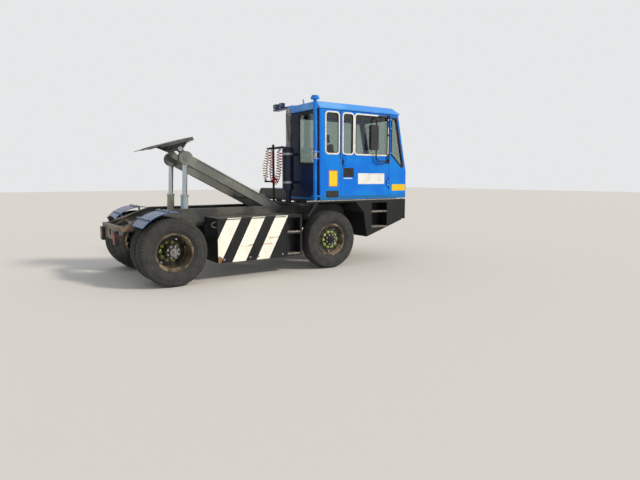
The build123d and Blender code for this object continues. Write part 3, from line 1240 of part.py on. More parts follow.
def exhaust_stack():
    """The muffler on end behind the cab, with the shielded pipe and the thin breather above it."""
    x, y = MUFFLER_X, MUFFLER_Y
    low, high = MUFFLER_Z
    shape = rod((x, y, low), (x, y, high), MUFFLER_RADIUS)
    shape += rod((x, y, low - 30), (x, y, high + 30), MUFFLER_RADIUS * 0.72)
    shape += rod((x, y - 50, high), (x, y - 50, STACK_TOP_Z), STACK_RADIUS)
    shape -= rod((x, y - 50, high + 300), (x, y - 50, STACK_TOP_Z + 1), STACK_RADIUS - 5)
    shape += rod((x, y + 38, high), (x, y + 38, STACK_TOP_Z - 20), 13)
    shape += rod((x, y, CATWALK_Z[1]), (x, y, low), 55)
    for z in (low + 120, high - 120):
        shape += box((x, CAB_REAR_X), (y - 25, y + 25), (z, z + 40))
    return shape


def intake_stack():
    """The air intake: a tall pipe at the cab's rear corner with a rain cap and two clamps."""
    x, y = INTAKE_X, INTAKE_Y
    low, high = INTAKE_Z
    shape = rod((x, y, low), (x, y, high), INTAKE_RADIUS)
    shape += rod((x, y, high), (x, y, high + CAP_HEIGHT * 0.6), CAP_RADIUS)
    shape += rod((x, y, high + CAP_HEIGHT * 0.6), (x, y, high + CAP_HEIGHT), CAP_RADIUS * 0.8)
    for z in (1990, 2110):
        shape += rod((x, y, z), (x, y, z + 34), INTAKE_RADIUS + 7)
        shape += box((x, CAB_REAR_X), (y - 12, y + 12), (z + 4, z + 30))
    shape += box((x - 40, CAB_REAR_X), (y - 25, y + 55), (low - 10, low + 22))
    shape += box((x - 30, x + 30), (y - 20, y + 30), (SILL_Z + SILL_HEIGHT, low))
    return shape


def lamp_bar():
    """The flat bar off the roof's rear left corner that carries two work lamps."""
    x = CAB_REAR_X + 40
    y = CAB_LEFT_Y - 150
    z = ROOF_TOP_Z
    shape = box((x, x + 110), (y, CAB_LEFT_Y + LAMP_BAR_REACH), (z, z + 36))
    for lamp_y in (CAB_LEFT_Y + LAMP_BAR_REACH - 160, CAB_LEFT_Y + LAMP_BAR_REACH - 380):
        shape += box((x - 50, x + 20), (lamp_y - 65, lamp_y + 65), (z + 36, z + 116))
    return shape


def catwalk():
    """The deck plate behind the cab, on a packer over each rail."""
    shape = box(CATWALK_X, CATWALK_Y, CATWALK_Z)
    for side in (-1, 1):
        y_low, y_high = sorted((side * RAIL_INNER_Y, side * RAIL_OUTER_Y))
        shape += box((CATWALK_X[0] + 40, CATWALK_X[1] - 40), (y_low, y_high), (RAIL_TOP, CATWALK_Z[0]))
    return shape


def glands():
    """Where the two curly hoses leave the rack and where their ends are parked: (x, y, z) each."""
    rear = RACK_X - 70
    return {
        "red_start": (rear, RACK_Y - 80, RACK_BAR_Z - 60),
        "red_end": (rear, RACK_Y - 360, RACK_BAR_Z - 60),
        "yellow_start": (rear, RACK_Y + 80, RACK_BAR_Z - 30),
        "yellow_end": (rear, RACK_Y + 190, 1640),
    }


def hose_rack():
    """The post behind the cab with the bar that the hoses hang from."""
    x, y = RACK_X, RACK_Y
    shape = rod((x, y, CATWALK_Z[1]), (x, y, RACK_TOP_Z), RACK_POST_RADIUS)
    shape += box((x - 20, x + 20), (y - 390, y + 120), (RACK_BAR_Z - 20, RACK_BAR_Z + 20))
    shape += box((x - 60, x + 60), (y - 60, y + 60), (CATWALK_Z[1], CATWALK_Z[1] + 10))
    for name, (gx, gy, gz) in glands().items():
        if name == "yellow_end":
            shape += box((x - 15, x + 15), (y, gy + 20), (gz - 62, gz - 32))
            shape += box((gx - 20, x + 15), (gy - 20, gy + 20), (gz - 62, gz - 32))
            shape += rod((gx, gy, gz - 62), (gx, gy, gz), GLAND_RADIUS)
        else:
            shape += box((gx - 20, x), (gy - 20, gy + 20), (RACK_BAR_Z - 20, RACK_BAR_Z + 10))
            shape += rod((gx, gy, gz), (gx, gy, RACK_BAR_Z), GLAND_RADIUS)
    return shape


def hose_path(points):
    """Straight runs joined by arcs as large as the two runs allow."""
    vectors = [Vector(*point) for point in points]
    radii = []
    for before, at, after in zip(vectors, vectors[1:], vectors[2:]):
        turn = radians((at - before).get_angle(after - at))
        run = min((at - before).length, (after - at).length)
        radii.append(0.45 * run / tan(turn / 2))
    print("hose radii", [round(radius) for radius in radii])
    return FilletPolyline(*vectors, radius=radii)


def coil(points):
    """The fat tube that a curly hose fills."""
    path = hose_path(points)
    start = Plane(origin=path @ 0, z_dir=path % 0)
    shape = sweep(start * Circle(COIL_RADIUS), path=path)
    share = shape.volume / (pi * COIL_RADIUS ** 2 * path.length)
    print("hose length", round(path.length), "volume share", round(share, 3))
    return shape


def red_points():
    x, y, z = glands()["red_start"]
    end_y = glands()["red_end"][1]
    middle = (y + end_y) / 2
    return ((x, y, z), (x, y, z - 140), (x - 8, y + 4, z - 270), (x - 16, y - 10, z - 390),
            (x - 24, y - 52, z - 500), (x - 28, middle + 34, z - 580), (x - 28, middle - 34, z - 584),
            (x - 24, end_y + 50, z - 512), (x - 16, end_y + 8, z - 400), (x - 8, end_y - 6, z - 275),
            (x, end_y, z - 140), (x, end_y, z))


def yellow_points():
    x, y, z = glands()["yellow_start"]
    end_x, end_y, end_z = glands()["yellow_end"]
    return ((x, y, z), (x, y, z - 90), (x - 20, y + 28, z - 190), (x - 30, y + 66, z - 290),
            (x - 24, y + 98, z - 390), (end_x, end_y, end_z + 90), (end_x, end_y, end_z))


def hose_red():
    return coil(red_points())


def hose_yellow():
    return coil(yellow_points())


def export(name, shape):
    """Writes one node, moved so that the origin is on the ground in the middle of the length."""
    solids = [Pos(-ORIGIN_X, 0, 0) * solid for solid in shape.solids()]
    placed = solids[0] if len(solids) == 1 else Compound(solids)
    export_step(placed, f"parts/{name}.step")


def main():
    os.makedirs("parts", exist_ok=True)
    nodes = {
        "frame_rails": both_sides(rail_left()),
        "cross_members": group(cross_members(), cab_mounts()),
        "tail_beam": tail_beam(),
        "boom_brackets": boom_brackets(),
        "lift_saddle": lift_saddle(),
        "front_axle": front_axle(),
        "front_springs": front_springs(),
        "rear_axle": rear_axle() + driveshaft(),
        "engine_block": engine_block(),
        "engine_hood": engine_hood(),
        "step_frames": both_sides(step_frame_left()),
        "sill_rails": sill_rails(),
        "side_cabinet": side_cabinet(),
        "fuel_tank": fuel_tank(),
        "air_tanks": air_tanks(),
        "front_bumper": front_bumper(),
        "headlamps": headlamps(),
        "tail_lamps": tail_lamps(),
        "rear_fenders": rear_fenders(),
        "catwalk": catwalk() + hose_rack(),
        "cab_floor": cab_floor(),
        "cab_right_side": cab_right_side(),
        "cab_left_side": cab_left_side(),
        "cab_rear_wall": cab_rear_wall(),
        "cab_front": cab_front(),
        "cab_roof": cab_roof() + lamp_bar(),
        "cab_glass": cab_glass(),
        "seat": seat(),
        "dash": dash(),
        "steering_wheel": steering_wheel(),
        "exhaust_stack": exhaust_stack(),
        "intake_stack": intake_stack(),
        "hose_red": hose_red(),
        "hose_yellow": hose_yellow(),
        "door": door(),
        "door_glass": door_glass(),
        "mirror": mirror_arm(),
        "boom": boom(),
        "lift_barrels": lift_barrels(),
        "lift_stages": lift_stages(),
        "lift_rods": lift_rods(),
        "fifth_wheel": fifth_wheel(),
        "tie_rod": tie_rod(),
        "knuckle_left": knuckle_left(),
        "front_rim_left": front_rim_left(),
        "front_tyre_left": tyre(WHEELBASE, FRONT_TYRE_Y),
        "rear_rims_left": rear_rims_left(),
        "rear_tyres_left": rear_tyres_left(),
    }
    for name in [name for name in nodes if name.endswith("_left")]:
        nodes[name.replace("_left", "_right")] = other_side(nodes[name])
    for name, shape in nodes.items():
        export(name, shape)


main()
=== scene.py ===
# %% [markdown]
# This lesson dresses a terminal tractor, the yard vehicle that shunts trailers in ports. Its solids come
# ready made from CAD, as the frame. Here they get the finishes of the real machine, and the small pieces
# that CAD leaves out: tyre tread, nuts, window rubbers, plates, lamps, hoses and a seat.
# Everything is in metres. +X is forward, +Y is the vehicle's left and +Z is up.

# %% Load the frame
import bpy
import bmesh
from math import cos, hypot, pi, radians, sin, tau
from mathutils import Matrix, Vector


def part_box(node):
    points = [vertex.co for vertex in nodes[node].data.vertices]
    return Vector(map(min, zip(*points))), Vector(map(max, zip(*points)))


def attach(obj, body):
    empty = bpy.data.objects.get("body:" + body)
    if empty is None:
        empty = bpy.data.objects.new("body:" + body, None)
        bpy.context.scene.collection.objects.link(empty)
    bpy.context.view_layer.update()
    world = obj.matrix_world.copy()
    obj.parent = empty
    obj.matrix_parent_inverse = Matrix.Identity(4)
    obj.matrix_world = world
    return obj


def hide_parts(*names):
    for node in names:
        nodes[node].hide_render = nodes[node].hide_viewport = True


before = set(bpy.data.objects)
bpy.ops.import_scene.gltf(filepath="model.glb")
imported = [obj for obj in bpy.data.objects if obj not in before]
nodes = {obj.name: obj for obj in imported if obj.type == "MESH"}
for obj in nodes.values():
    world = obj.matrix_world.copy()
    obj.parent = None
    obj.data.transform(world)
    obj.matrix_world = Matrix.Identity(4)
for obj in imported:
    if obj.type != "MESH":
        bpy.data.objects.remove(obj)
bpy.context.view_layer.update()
print("nodes in the frame:", len(nodes))

# %% [markdown]
# The drawings of the vehicle measure lengths from the rear axle, because wheels, boom and rails are all
# set out from it. The frame's own origin is in the middle of the length. One function turns a place on
# the drawing into a place in the frame, so that numbers can be read off the drawing.

# %% Places on the drawing
REAR_AXLE_X = -2.055
WHEELBASE = 2.93
AXLE_Z = 0.53


def show(thing):
    """Puts an object in the scene."""
    bpy.context.scene.collection.objects.link(thing)


def at(x, y, z):
    """A place given from the rear axle, in the frame."""
    return Vector((x + REAR_AXLE_X, y, z))


print("front axle stands at", at(WHEELBASE, 0, AXLE_Z))

# %% [markdown]
# The camera stands where the photographer stood: right of the vehicle and a little behind it, at eye
# height, tilted down by seven degrees. The lens comes from the picture's width in pixels and the focal
# length that the wheels' ellipses gave.

# %% Camera
PICTURE_WIDTH = 640
FOCAL_PIXELS = 497
SENSOR_MM = 36
EYE = (-2.4025, -8.609, 1.66)
TILT_DOWN = radians(7.1)
TURN_RIGHT = radians(34.4)

camera_data = bpy.data.cameras.new("photo_camera")
camera_data.lens = FOCAL_PIXELS / PICTURE_WIDTH * SENSOR_MM
camera_data.sensor_width = SENSOR_MM
camera = bpy.data.objects.new("photo_camera", camera_data)
camera.location = at(*EYE)
camera.rotation_euler = (pi / 2 - TILT_DOWN, 0, -TURN_RIGHT)
show(camera)
bpy.context.scene.camera = camera
print("lens", round(camera_data.lens, 2), "mm")

# %% [markdown]
# Colours are written as sRGB hex, as a paint shop's chart gives them. Shaders work in linear light, so
# one function turns them. Another adds any node with its settings and links, and four short ones stand
# for nodes that come again and again. Two more open and close a material, and the last draws the
# noise that most finishes start from, with its lumps sized in millimetres so that each pattern keeps its
# real scale.

# %% Colours and nodes
FACTOR, FIRST, SECOND = 0, 6, 7


def linear(code):
    """A hex colour such as #0B6BC8 as linear red, green, blue and alpha."""
    parts = [int(code[i:i + 2], 16) / 255 for i in (1, 3, 5)]
    return (*[c / 12.92 if c <= 0.04045 else ((c + 0.055) / 1.055) ** 2.4 for c in parts], 1)


def add_node(tree, kind, inputs=(), out=0, **settings):
    """Adds a node and returns one output. A socket is linked, a hex colour turned, the rest is set."""
    made = tree.nodes.new("ShaderNode" + kind)
    for name, value in settings.items():
        setattr(made, name, value)
    for name, value in inputs.items() if isinstance(inputs, dict) else enumerate(inputs):
        if isinstance(value, bpy.types.NodeSocket):
            tree.links.new(value, made.inputs[name])
        else:
            made.inputs[name].default_value = linear(value) if isinstance(value, str) else value
    return made.outputs[out] if made.outputs else made


def ramp(tree, value, start, end, *result):
    """A smooth step: 0 at start and 1 at end, or from one given result to the other."""
    return add_node(tree, "MapRange", (value, start, end, *result), interpolation_type="SMOOTHSTEP")


def mix(tree, share, first, second):
    """Two colours. The share is that of the second."""
    return add_node(tree, "Mix", {FACTOR: share, FIRST: first, SECOND: second}, out=2, data_type="RGBA")


def maths(tree, operation, *values):
    """A sum, product or test of numbers."""
    return add_node(tree, "Math", values, operation=operation)


def times(tree, first, second):
    return maths(tree, "MULTIPLY", first, second)


def open_material(name):
    """An empty material: itself, its tree and the place on the object."""
    material = bpy.data.materials.new(name)
    material.use_nodes = True
    tree = material.node_tree
    tree.nodes.clear()
    return material, tree, add_node(tree, "TexCoord", out="Object")


def close_material(tree, height=None, depth_mm=0.3, **inputs):
    """The shader with its inputs, with bump if a height is given, joined to the output."""
    inputs = {name.replace("_", " "): value for name, value in inputs.items()}
    if height is not None:
        inputs["Normal"] = add_node(tree, "Bump",
                                    {"Height": height, "Distance": depth_mm / 1000, "Strength": 1.0})
    add_node(tree, "OutputMaterial", {"Surface": add_node(tree, "BsdfPrincipled", inputs)})


def grain(tree, place, size_mm, detail=4, stretch=(1, 1, 1), rough=0.55):
    """Noise with lumps about size_mm across, drawn out along an axis whose factor is under one."""
    place = add_node(tree, "Mapping", {"Vector": place, "Scale": stretch})
    return add_node(tree, "TexNoise", {"Vector": place, "Scale": 1000 / size_mm, "Detail": detail,
                                       "Roughness": rough})


print("helpers ready")

# %% [markdown]
# Soft studio light shows paint as it is. The world fills the shadows, and one broad sun from the front
# right lights the near side. Camera, mirror and glass rays see a pale backdrop instead of the fill, so
# that chrome and windows reflect a studio and not a grey void.

# %% World, sun and floor
FILL = 0.62
SUN_STRENGTH = 2.4
SUN_WIDTH = radians(9)
SUN_FROM = Vector((0.5, -0.72, 0.62))
FLOOR_REACH = 60

world = bpy.data.worlds.new("studio")
bpy.context.scene.world = world
world.use_nodes = True
sky = world.node_tree
sky.nodes.clear()
rays = add_node(sky, "LightPath").node.outputs
seen = rays["Is Camera Ray"]
for ray in ("Is Glossy Ray", "Is Transmission Ray"):
    seen = maths(sky, "MAXIMUM", seen, rays[ray])
fill = add_node(sky, "Background", {"Color": "#F1F4FA", "Strength": FILL})
backdrop = add_node(sky, "Background", {"Color": "#E6E7E8", "Strength": 1.0})
add_node(sky, "OutputWorld", {"Surface": add_node(sky, "MixShader", (seen, fill, backdrop))})

sun_data = bpy.data.lights.new("broad_sun", "SUN")
sun_data.energy = SUN_STRENGTH
sun_data.angle = SUN_WIDTH
sun_data.color = linear("#FFF6EA")[:3]
sun = bpy.data.objects.new("broad_sun", sun_data)
sun.rotation_euler = SUN_FROM.to_track_quat("Z", "Y").to_euler()
show(sun)

floor_mesh = bpy.data.meshes.new("studio_floor")
floor_mesh.from_pydata([(x * FLOOR_REACH, y * FLOOR_REACH, 0)
                        for x, y in ((-1, -1), (1, -1), (1, 1), (-1, 1))], [], [(0, 1, 2, 3)])
floor = bpy.data.objects.new("studio_floor", floor_mesh)
show(floor)
floor_paint, floor_tree, _ = open_material("studio_floor_paint")
close_material(floor_tree, Base_Color="#D8D5CE", Roughness=0.9)
floor_mesh.materials.append(floor_paint)
bpy.context.scene.view_settings.view_transform = "Standard"
print("studio is lit")

# %% [markdown]
# Most of the machine is brushed or sprayed enamel over steel sheet, outdoors for years. Such paint fades
# in clouds, runs with dirt below every edge, chips down to primer and rust, and gathers dust on what
# faces up. One function builds that, and each paint gives its own colours and amounts. Clouds are half
# a metre across, streaks a few centimetres wide and chips under two centimetres, a little coarser than
# life so that they show.

# %% Weathered enamel
CLOUD_MM, PATCH_MM, STREAK_MM, CHIP_MM, PEEL_MM = 450, 130, 26, 14, 5
DUST = "#7E796D"


def facing_up(tree, least):
    """1 where the surface faces the sky."""
    normal = add_node(tree, "NewGeometry", out="Normal")
    up = add_node(tree, "SeparateXYZ", (normal,), "Z")
    return ramp(tree, up, least, 0.98)


def enamel(name, colour, faded, dirt, rust="#6E432A", rusty=0.3, chipped=0.3, dusty=0.4, gloss=(0.32, 0.62),
           ior=1.45, zone=None, zone_colour=None):
    """Old paint on steel. zone(tree, place) may give a place that is painted in another colour."""
    material, tree, place = open_material(name)
    clouds = ramp(tree, grain(tree, place, CLOUD_MM), 0.42, 0.62)
    paint = mix(tree, clouds, colour, faded)
    if zone:
        second = zone_colour(tree, place) if callable(zone_colour) else zone_colour
        paint = mix(tree, zone(tree, place), paint, second)

    runs = ramp(tree, grain(tree, place, STREAK_MM, stretch=(1, 1, 0.05)), 0.55, 0.72, 0, 0.6)
    soiled = ramp(tree, grain(tree, place, PATCH_MM, detail=8), 0.45, 0.7)
    running = times(tree, runs, soiled)
    paint = mix(tree, running, paint, dirt)

    patches = grain(tree, place, PATCH_MM, detail=10, rough=0.72)
    low, first_chip = 0.74 - 0.2 * rusty, 0.76 - 0.1 * chipped
    patches = ramp(tree, patches, low, low + 0.08)
    chips = ramp(tree, grain(tree, place, CHIP_MM, detail=3), first_chip, first_chip + 0.03)
    bare = maths(tree, "MAXIMUM", patches, chips)
    rusts = mix(tree, grain(tree, place, PEEL_MM * 2), rust, "#3A2417")
    paint = mix(tree, bare, paint, rusts)

    lying = ramp(tree, grain(tree, place, PATCH_MM * 2, detail=8), 0.3, 0.7, dusty * 0.45, dusty)
    dust = times(tree, facing_up(tree, 0.55), lying)
    paint = mix(tree, dust, paint, DUST)

    dull = maths(tree, "MAXIMUM", bare, dust)
    dull = maths(tree, "MAXIMUM", dull, running)
    rough = add_node(tree, "MapRange", (dull, 0, 1, *gloss))
    peel = times(tree, grain(tree, place, PEEL_MM, detail=2), 0.35)
    skin = maths(tree, "MULTIPLY_ADD", bare, -0.8, peel)
    close_material(tree, skin, 0.5, Base_Color=paint, Roughness=rough, IOR=ior)
    return material


def past(axis, start, end):
    """A zone that grows from 0 at start to 1 at end, along one axis of the frame."""
    def zone(tree, place):
        along = add_node(tree, "SeparateXYZ", (place,), axis)
        return ramp(tree, along, start, end)
    return zone


def patches_behind(x_line, fade=0.3):
    """A zone of patches that grow behind a cross line, given from the rear axle."""
    def zone(tree, place):
        near = past("X", REAR_AXLE_X + x_line, REAR_AXLE_X + x_line - fade)(tree, place)
        patches = ramp(tree, grain(tree, place, PATCH_MM, detail=9), 0.42, 0.6)
        return times(tree, near, patches)
    return zone


print("enamel is ready")

# %% [markdown]
# The cabinet beside the rear wheel carries slanted cream stripes, sprayed over the black. They are a
# zone in the paint: the place along the side, sheared by the height, is cut into three bands. Rust has
# bled down from level scratches, and has eaten the foot of the rearmost stripe.

# %% Striped cabinet
STRIPE_PITCH = 0.443
STRIPE_WIDTH = 0.243
STRIPE_LEAN = 0.525
STRIPE_START = 0.5
CABINET_FOOT = 0.3
SIDE_FACE_Y = -1.19
CABINET_REAR_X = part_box("side_cabinet")[0][0]
SCRATCHES = ((0.568, 1.1, 1.95), (0.668, 1.62, 1.95))


def slanted_bands(tree, place):
    """1 inside the three slanted bands on the cabinet's outer face."""
    x, y, z = add_node(tree, "SeparateXYZ", (place,)).node.outputs
    height = maths(tree, "SUBTRACT", z, CABINET_FOOT)
    sheared = maths(tree, "MULTIPLY_ADD", height, -STRIPE_LEAN, x)
    sheared = maths(tree, "SUBTRACT", sheared, REAR_AXLE_X + STRIPE_START)
    ragged = maths(tree, "MULTIPLY_ADD", grain(tree, place, 30), 0.006, sheared)
    turn = maths(tree, "FLOORED_MODULO", ragged, STRIPE_PITCH)
    inside = maths(tree, "LESS_THAN", turn, STRIPE_WIDTH)
    started = maths(tree, "GREATER_THAN", ragged, 0.0)
    ended = maths(tree, "LESS_THAN", ragged, STRIPE_PITCH * 2 + STRIPE_WIDTH)
    outer = maths(tree, "LESS_THAN", y, SIDE_FACE_Y)
    for test in (started, ended, outer):
        inside = times(tree, inside, test)
    return inside


def stained_cream(tree, place):
    """Cream paint with rust bleeding down from the scratches, given by height, start and end."""
    x, _, z = add_node(tree, "SeparateXYZ", (place,)).node.outputs
    fade = ramp(tree, grain(tree, place, 160, detail=8), 0.4, 0.75)
    colour = mix(tree, fade, "#FDFCEE", "#EDEBDA")
    wavy = maths(tree, "MULTIPLY_ADD", grain(tree, place, 160), 0.02, z)
    blots = ramp(tree, grain(tree, place, 60, detail=8, stretch=(0.5, 1, 1)), 0.36, 0.6)
    for height, start, end in SCRATCHES:
        drop = maths(tree, "SUBTRACT", height + 0.01, wavy)
        edge = ramp(tree, drop, 0.0, 0.004)
        tail = ramp(tree, drop, 0.004, 0.045, 1, 0)
        after = maths(tree, "GREATER_THAN", x, REAR_AXLE_X + start)
        before = maths(tree, "LESS_THAN", x, REAR_AXLE_X + end)
        stain = blots
        for part in (edge, tail, after, before):
            stain = times(tree, stain, part)
        colour = mix(tree, stain, colour, "#B9823E")
    behind = ramp(tree, x, CABINET_REAR_X + 0.13, CABINET_REAR_X)
    below = ramp(tree, z, CABINET_FOOT + 0.16, CABINET_FOOT + 0.03)
    corner = times(tree, behind, below)
    eaten = maths(tree, "MULTIPLY_ADD", grain(tree, place, 60, detail=8), 1.2, corner)
    eaten = ramp(tree, eaten, 0.85, 1.0)
    brown = mix(tree, grain(tree, place, 22), "#B08050", "#4A3020")
    return mix(tree, eaten, colour, brown)


print("stripes", STRIPE_WIDTH, "m wide every", STRIPE_PITCH, "m")

# %% [markdown]
# Each paint on the machine, by where it sits. The cab is a clear mid blue that dulls at its foot, and its
# rear wall is painted dark navy as painted shade. The roof is a paler blue as painted light, with its lamp
# bar painted dark navy as painted shade, and the hood's rear face is painted near black as painted shade.
# The chassis is black enamel, dull and dusty. The rails have worn to grey, with brown patches towards the
# tail. The boom is grey with brown rust, and the cylinders' barrels are grey with blue and olive tints that
# are painted reflection.

# %% Paints
cab_enamel = enamel("cab_blue_enamel", "#0072DC", "#0A80DE", "#2C5C86", rust="#8A6A50", rusty=0.02,
                    chipped=0.12, dusty=0.3, gloss=(0.24, 0.5), ior=1.33, zone=past("Z", 1.365, 1.305),
                    zone_colour="#1F72B4")
# The paler blue is painted light on the cab's blue. The dark navy zone left of the cab, on the lamp bar, is
# painted shade.
roof_enamel_painted_light_and_shade = enamel("roof_blue_enamel_painted_light_and_shade", "#3F93E8", "#62A8EE", "#5A6E7E", rusty=0.02, chipped=0.1,
                     dusty=0.15, gloss=(0.3, 0.55), zone=past("Y", -0.025, -0.02), zone_colour="#0E2F66",
                     ior=1.4)
# The rear wall's dark navy is painted shade.
rear_wall_painted_shade = enamel("cab_rear_painted_shade_enamel", "#04224E", "#041A3C", "#0A1020", rusty=0.1, gloss=(0.5, 0.8),
                      ior=1.3)
fender_enamel = enamel("fender_blue_enamel", "#1B4A80", "#2A5B90", "#454A4E", rusty=0.15, chipped=0.5,
                       dusty=0.35, gloss=(0.22, 0.6))
# The near-black zone on the hood's rear face is painted shade.
HOOD_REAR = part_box("engine_hood")[0][0]
hood_enamel_with_painted_shade = enamel("hood_blue_enamel_with_painted_shade", "#0A5FB6", "#2070BC", "#40586C", rusty=0.08, dusty=0.16,
                     gloss=(0.28, 0.55), zone=past("X", HOOD_REAR + 0.02, HOOD_REAR + 0.005),
                     zone_colour="#0C1016", ior=1.35)
chassis_enamel = enamel("chassis_black_enamel", "#111514", "#1A1E1C", "#2E2C27", rusty=0.32, chipped=0.5,
                        dusty=0.4, gloss=(0.42, 0.8), ior=1.4)
cabinet_enamel = enamel("striped_cabinet_enamel", "#121517", "#1B1E1E", "#34322C", rusty=0.12, dusty=0.35,
                        gloss=(0.4, 0.7), ior=1.4, zone=slanted_bands, zone_colour=stained_cream)
rail_enamel = enamel("worn_rail_enamel", "#3B3D3C", "#5F5D55", "#645D52", rusty=0.55, chipped=0.8,
                     dusty=0.7, gloss=(0.5, 0.85), zone=patches_behind(0.05), zone_colour="#85705F")
boom_enamel = enamel("boom_grey_enamel", "#676A66", "#7D7F76", "#3E3D38", rust="#6C4E38", rusty=0.35,
                     chipped=0.8, dusty=0.6, gloss=(0.45, 0.8))
# The bluish and olive tones are painted reflection on the barrels and stages.
barrel_enamel_painted_reflection = enamel("cylinder_enamel_painted_reflection", "#98ACB6", "#A3A390", "#66685C", rusty=0.12, dusty=0.3,
                       gloss=(0.3, 0.6))
deck_enamel = enamel("deck_grey_enamel", "#1B2024", "#262B2E", "#1E1E1C", chipped=0.6, dusty=0.3,
                     gloss=(0.5, 0.8))
muffler_enamel = enamel("muffler_navy_enamel", "#141B36", "#1B2340", "#2A2A2E", rusty=0.15, dusty=0.3,
                        gloss=(0.4, 0.7))
print("paints:", len([m for m in bpy.data.materials if "enamel" in m.name]))

# %% [markdown]
# The fifth wheel and the axles are castings. Sand casting leaves a pebbled skin of a few millimetres.
# The plate's top is polished by trailers and wiped with grease, so it is brighter and smoother where it
# faces up, and under the lip it stays dull.

# %% Cast iron


def casting(name, colour, pits, polished, rough, shine):
    """Cast iron, pebbled by sand, with worn bright zones where it faces up."""
    material, tree, place = open_material(name)
    blotches = ramp(tree, grain(tree, place, 90, detail=8), 0.38, 0.66)
    tone = mix(tree, blotches, colour, pits)
    rubbed = ramp(tree, grain(tree, place, 45, detail=9, stretch=(0.2, 1, 1)), 0.3, 0.7, 0.3, 1)
    worn = times(tree, facing_up(tree, 0.7), rubbed)
    tone = mix(tree, worn, tone, polished)
    close_material(tree, grain(tree, place, 4, detail=2), 0.6, Base_Color=tone, Metallic=0.35,
                   Roughness=add_node(tree, "MapRange", (worn, 0, 1, rough, shine)))
    return material


plate_iron = casting("greased_plate_iron", "#54585A", "#4C463E", "#7A7B78", 0.7, 0.45)
axle_iron = casting("axle_iron", "#1C1B1A", "#3A3129", "#2E2A26", 0.8, 0.75)
engine_iron = casting("engine_iron", "#2A2D2E", "#3D3830", "#34322E", 0.78, 0.7)
print("castings ready")

# %% [markdown]
# Chromed rods are ground and hard-chromed: nearly a mirror, with the finest lines along the stroke.
# Zinc-plated nuts and clamps show a dull, cloudy grey. Spring leaves are hot-rolled and scaled. All are
# metals, so their colour is that of the reflection, and they keep the default IOR.

# %% Bare metals


def metal(name, colour, other, shine, cloud_mm=40, stretch=(1, 1, 1), depth_mm=0.05):
    """A bare or plated metal: two close tones, and a roughness that varies with them."""
    material, tree, place = open_material(name)
    lumps = grain(tree, place, cloud_mm, detail=5, stretch=stretch)
    share = ramp(tree, lumps, 0.35, 0.68)
    close_material(tree, lumps, depth_mm, Metallic=1.0,
                   Base_Color=mix(tree, share, colour, other),
                   Roughness=add_node(tree, "MapRange", (share, 0, 1, *shine)))
    return material


chrome = metal("hard_chrome", "#BCC2C6", "#9EA5AA", (0.08, 0.2), 6, (1, 1, 0.02), 0.01)
zinc = metal("zinc_plate", "#B9BCBE", "#8F9091", (0.32, 0.55), 14)
leaf_steel = metal("scaled_leaf_steel", "#33302D", "#52422F", (0.5, 0.8), 60)
stack_steel = metal("aluminised_stack_steel", "#9A9C9C", "#6F6760", (0.3, 0.6), 50, (1, 1, 0.2))
mirror_silver = metal("mirror_silver", "#DDE2E4", "#D5DADC", (0.02, 0.04), 200)
tread_steel = metal("worn_tread_steel", "#A5A39D", "#75685C", (0.45, 0.8), 25, depth_mm=0.4)
print("metals ready")

# %% [markdown]
# Tyres are moulded carbon-black rubber. On the road they turn a warm dark grey, with clouds of paler
# dust. Rims are sprayed black: the dish stays dark, while the flange is scuffed to a tan rust by tyre
# levers and kerbs. That flange is a zone between two distances from the wheel's centre.

# %% Rubber and rims


def rubber(name, colour, dust, share, rough, pit_mm=5):
    """Moulded rubber with dust on it."""
    material, tree, place = open_material(name)
    film = ramp(tree, grain(tree, place, 120, detail=8), 0.35, 0.7, 0, share)
    close_material(tree, grain(tree, place, pit_mm, detail=3), 0.25, Roughness=rough, IOR=1.52,
                   Base_Color=mix(tree, film, colour, dust))
    return material


def scuffed_ring(axle_x, nearest, farthest):
    """A zone between two radii about an axle."""
    def zone(tree, place):
        beside = add_node(tree, "VectorMath", (place, tuple(at(axle_x, 0, AXLE_Z))), operation="SUBTRACT")
        flat = add_node(tree, "VectorMath", (beside, (1, 0, 1)), operation="MULTIPLY")
        far = add_node(tree, "VectorMath", (flat,), "Value", operation="LENGTH")
        inner = ramp(tree, far, nearest, nearest + 0.02)
        outer = ramp(tree, far, farthest, farthest + 0.02, 1, 0)
        patchy = ramp(tree, grain(tree, place, 140, detail=8), 0.42, 0.64, 0.12, 1)
        band = times(tree, inner, outer)
        return times(tree, band, patchy)
    return zone


rim_look = dict(rust="#7A5A3C", rusty=0.45, chipped=0.8, dusty=0.3, gloss=(0.4, 0.75),
                zone_colour="#8E7E66")
front_rim = enamel("front_rim_enamel", "#26241F", "#37322A", "#4A4234",
                   zone=scuffed_ring(WHEELBASE, 0.23, 0.4), **rim_look)
rear_rim = enamel("rear_rim_enamel", "#26241F", "#37322A", "#4A4234", zone=scuffed_ring(0, 0.235, 0.4),
                  **rim_look)
tyre_rubber = rubber("tyre_rubber", "#2B2C2B", "#464541", 0.5, 0.84)
gasket_rubber = rubber("cream_gasket_rubber", "#F4F1E8", "#C4BEB0", 0.5, 0.6)
seal_rubber = rubber("black_seal_rubber", "#151515", "#2E2C2A", 0.5, 0.7)
print("rubber ready")

# %% [markdown]
# Window panes are toughened glass, clear with a faint green in the thickness and a film of dust. Lamp
# lenses, plates and decals are moulded or sprayed plastics: an even colour with a fine leather grain.

# %% Glass and plastics


def clear(name, colour, rough):
    """A clear solid that is tinted in its mass, with a film of dust that dulls it in clouds."""
    material, tree, place = open_material(name)
    film = ramp(tree, grain(tree, place, 220, detail=8), 0.4, 0.8, rough, rough + 0.1)
    close_material(tree, Base_Color=colour, Roughness=film, IOR=1.5, Transmission_Weight=1.0)
    return material


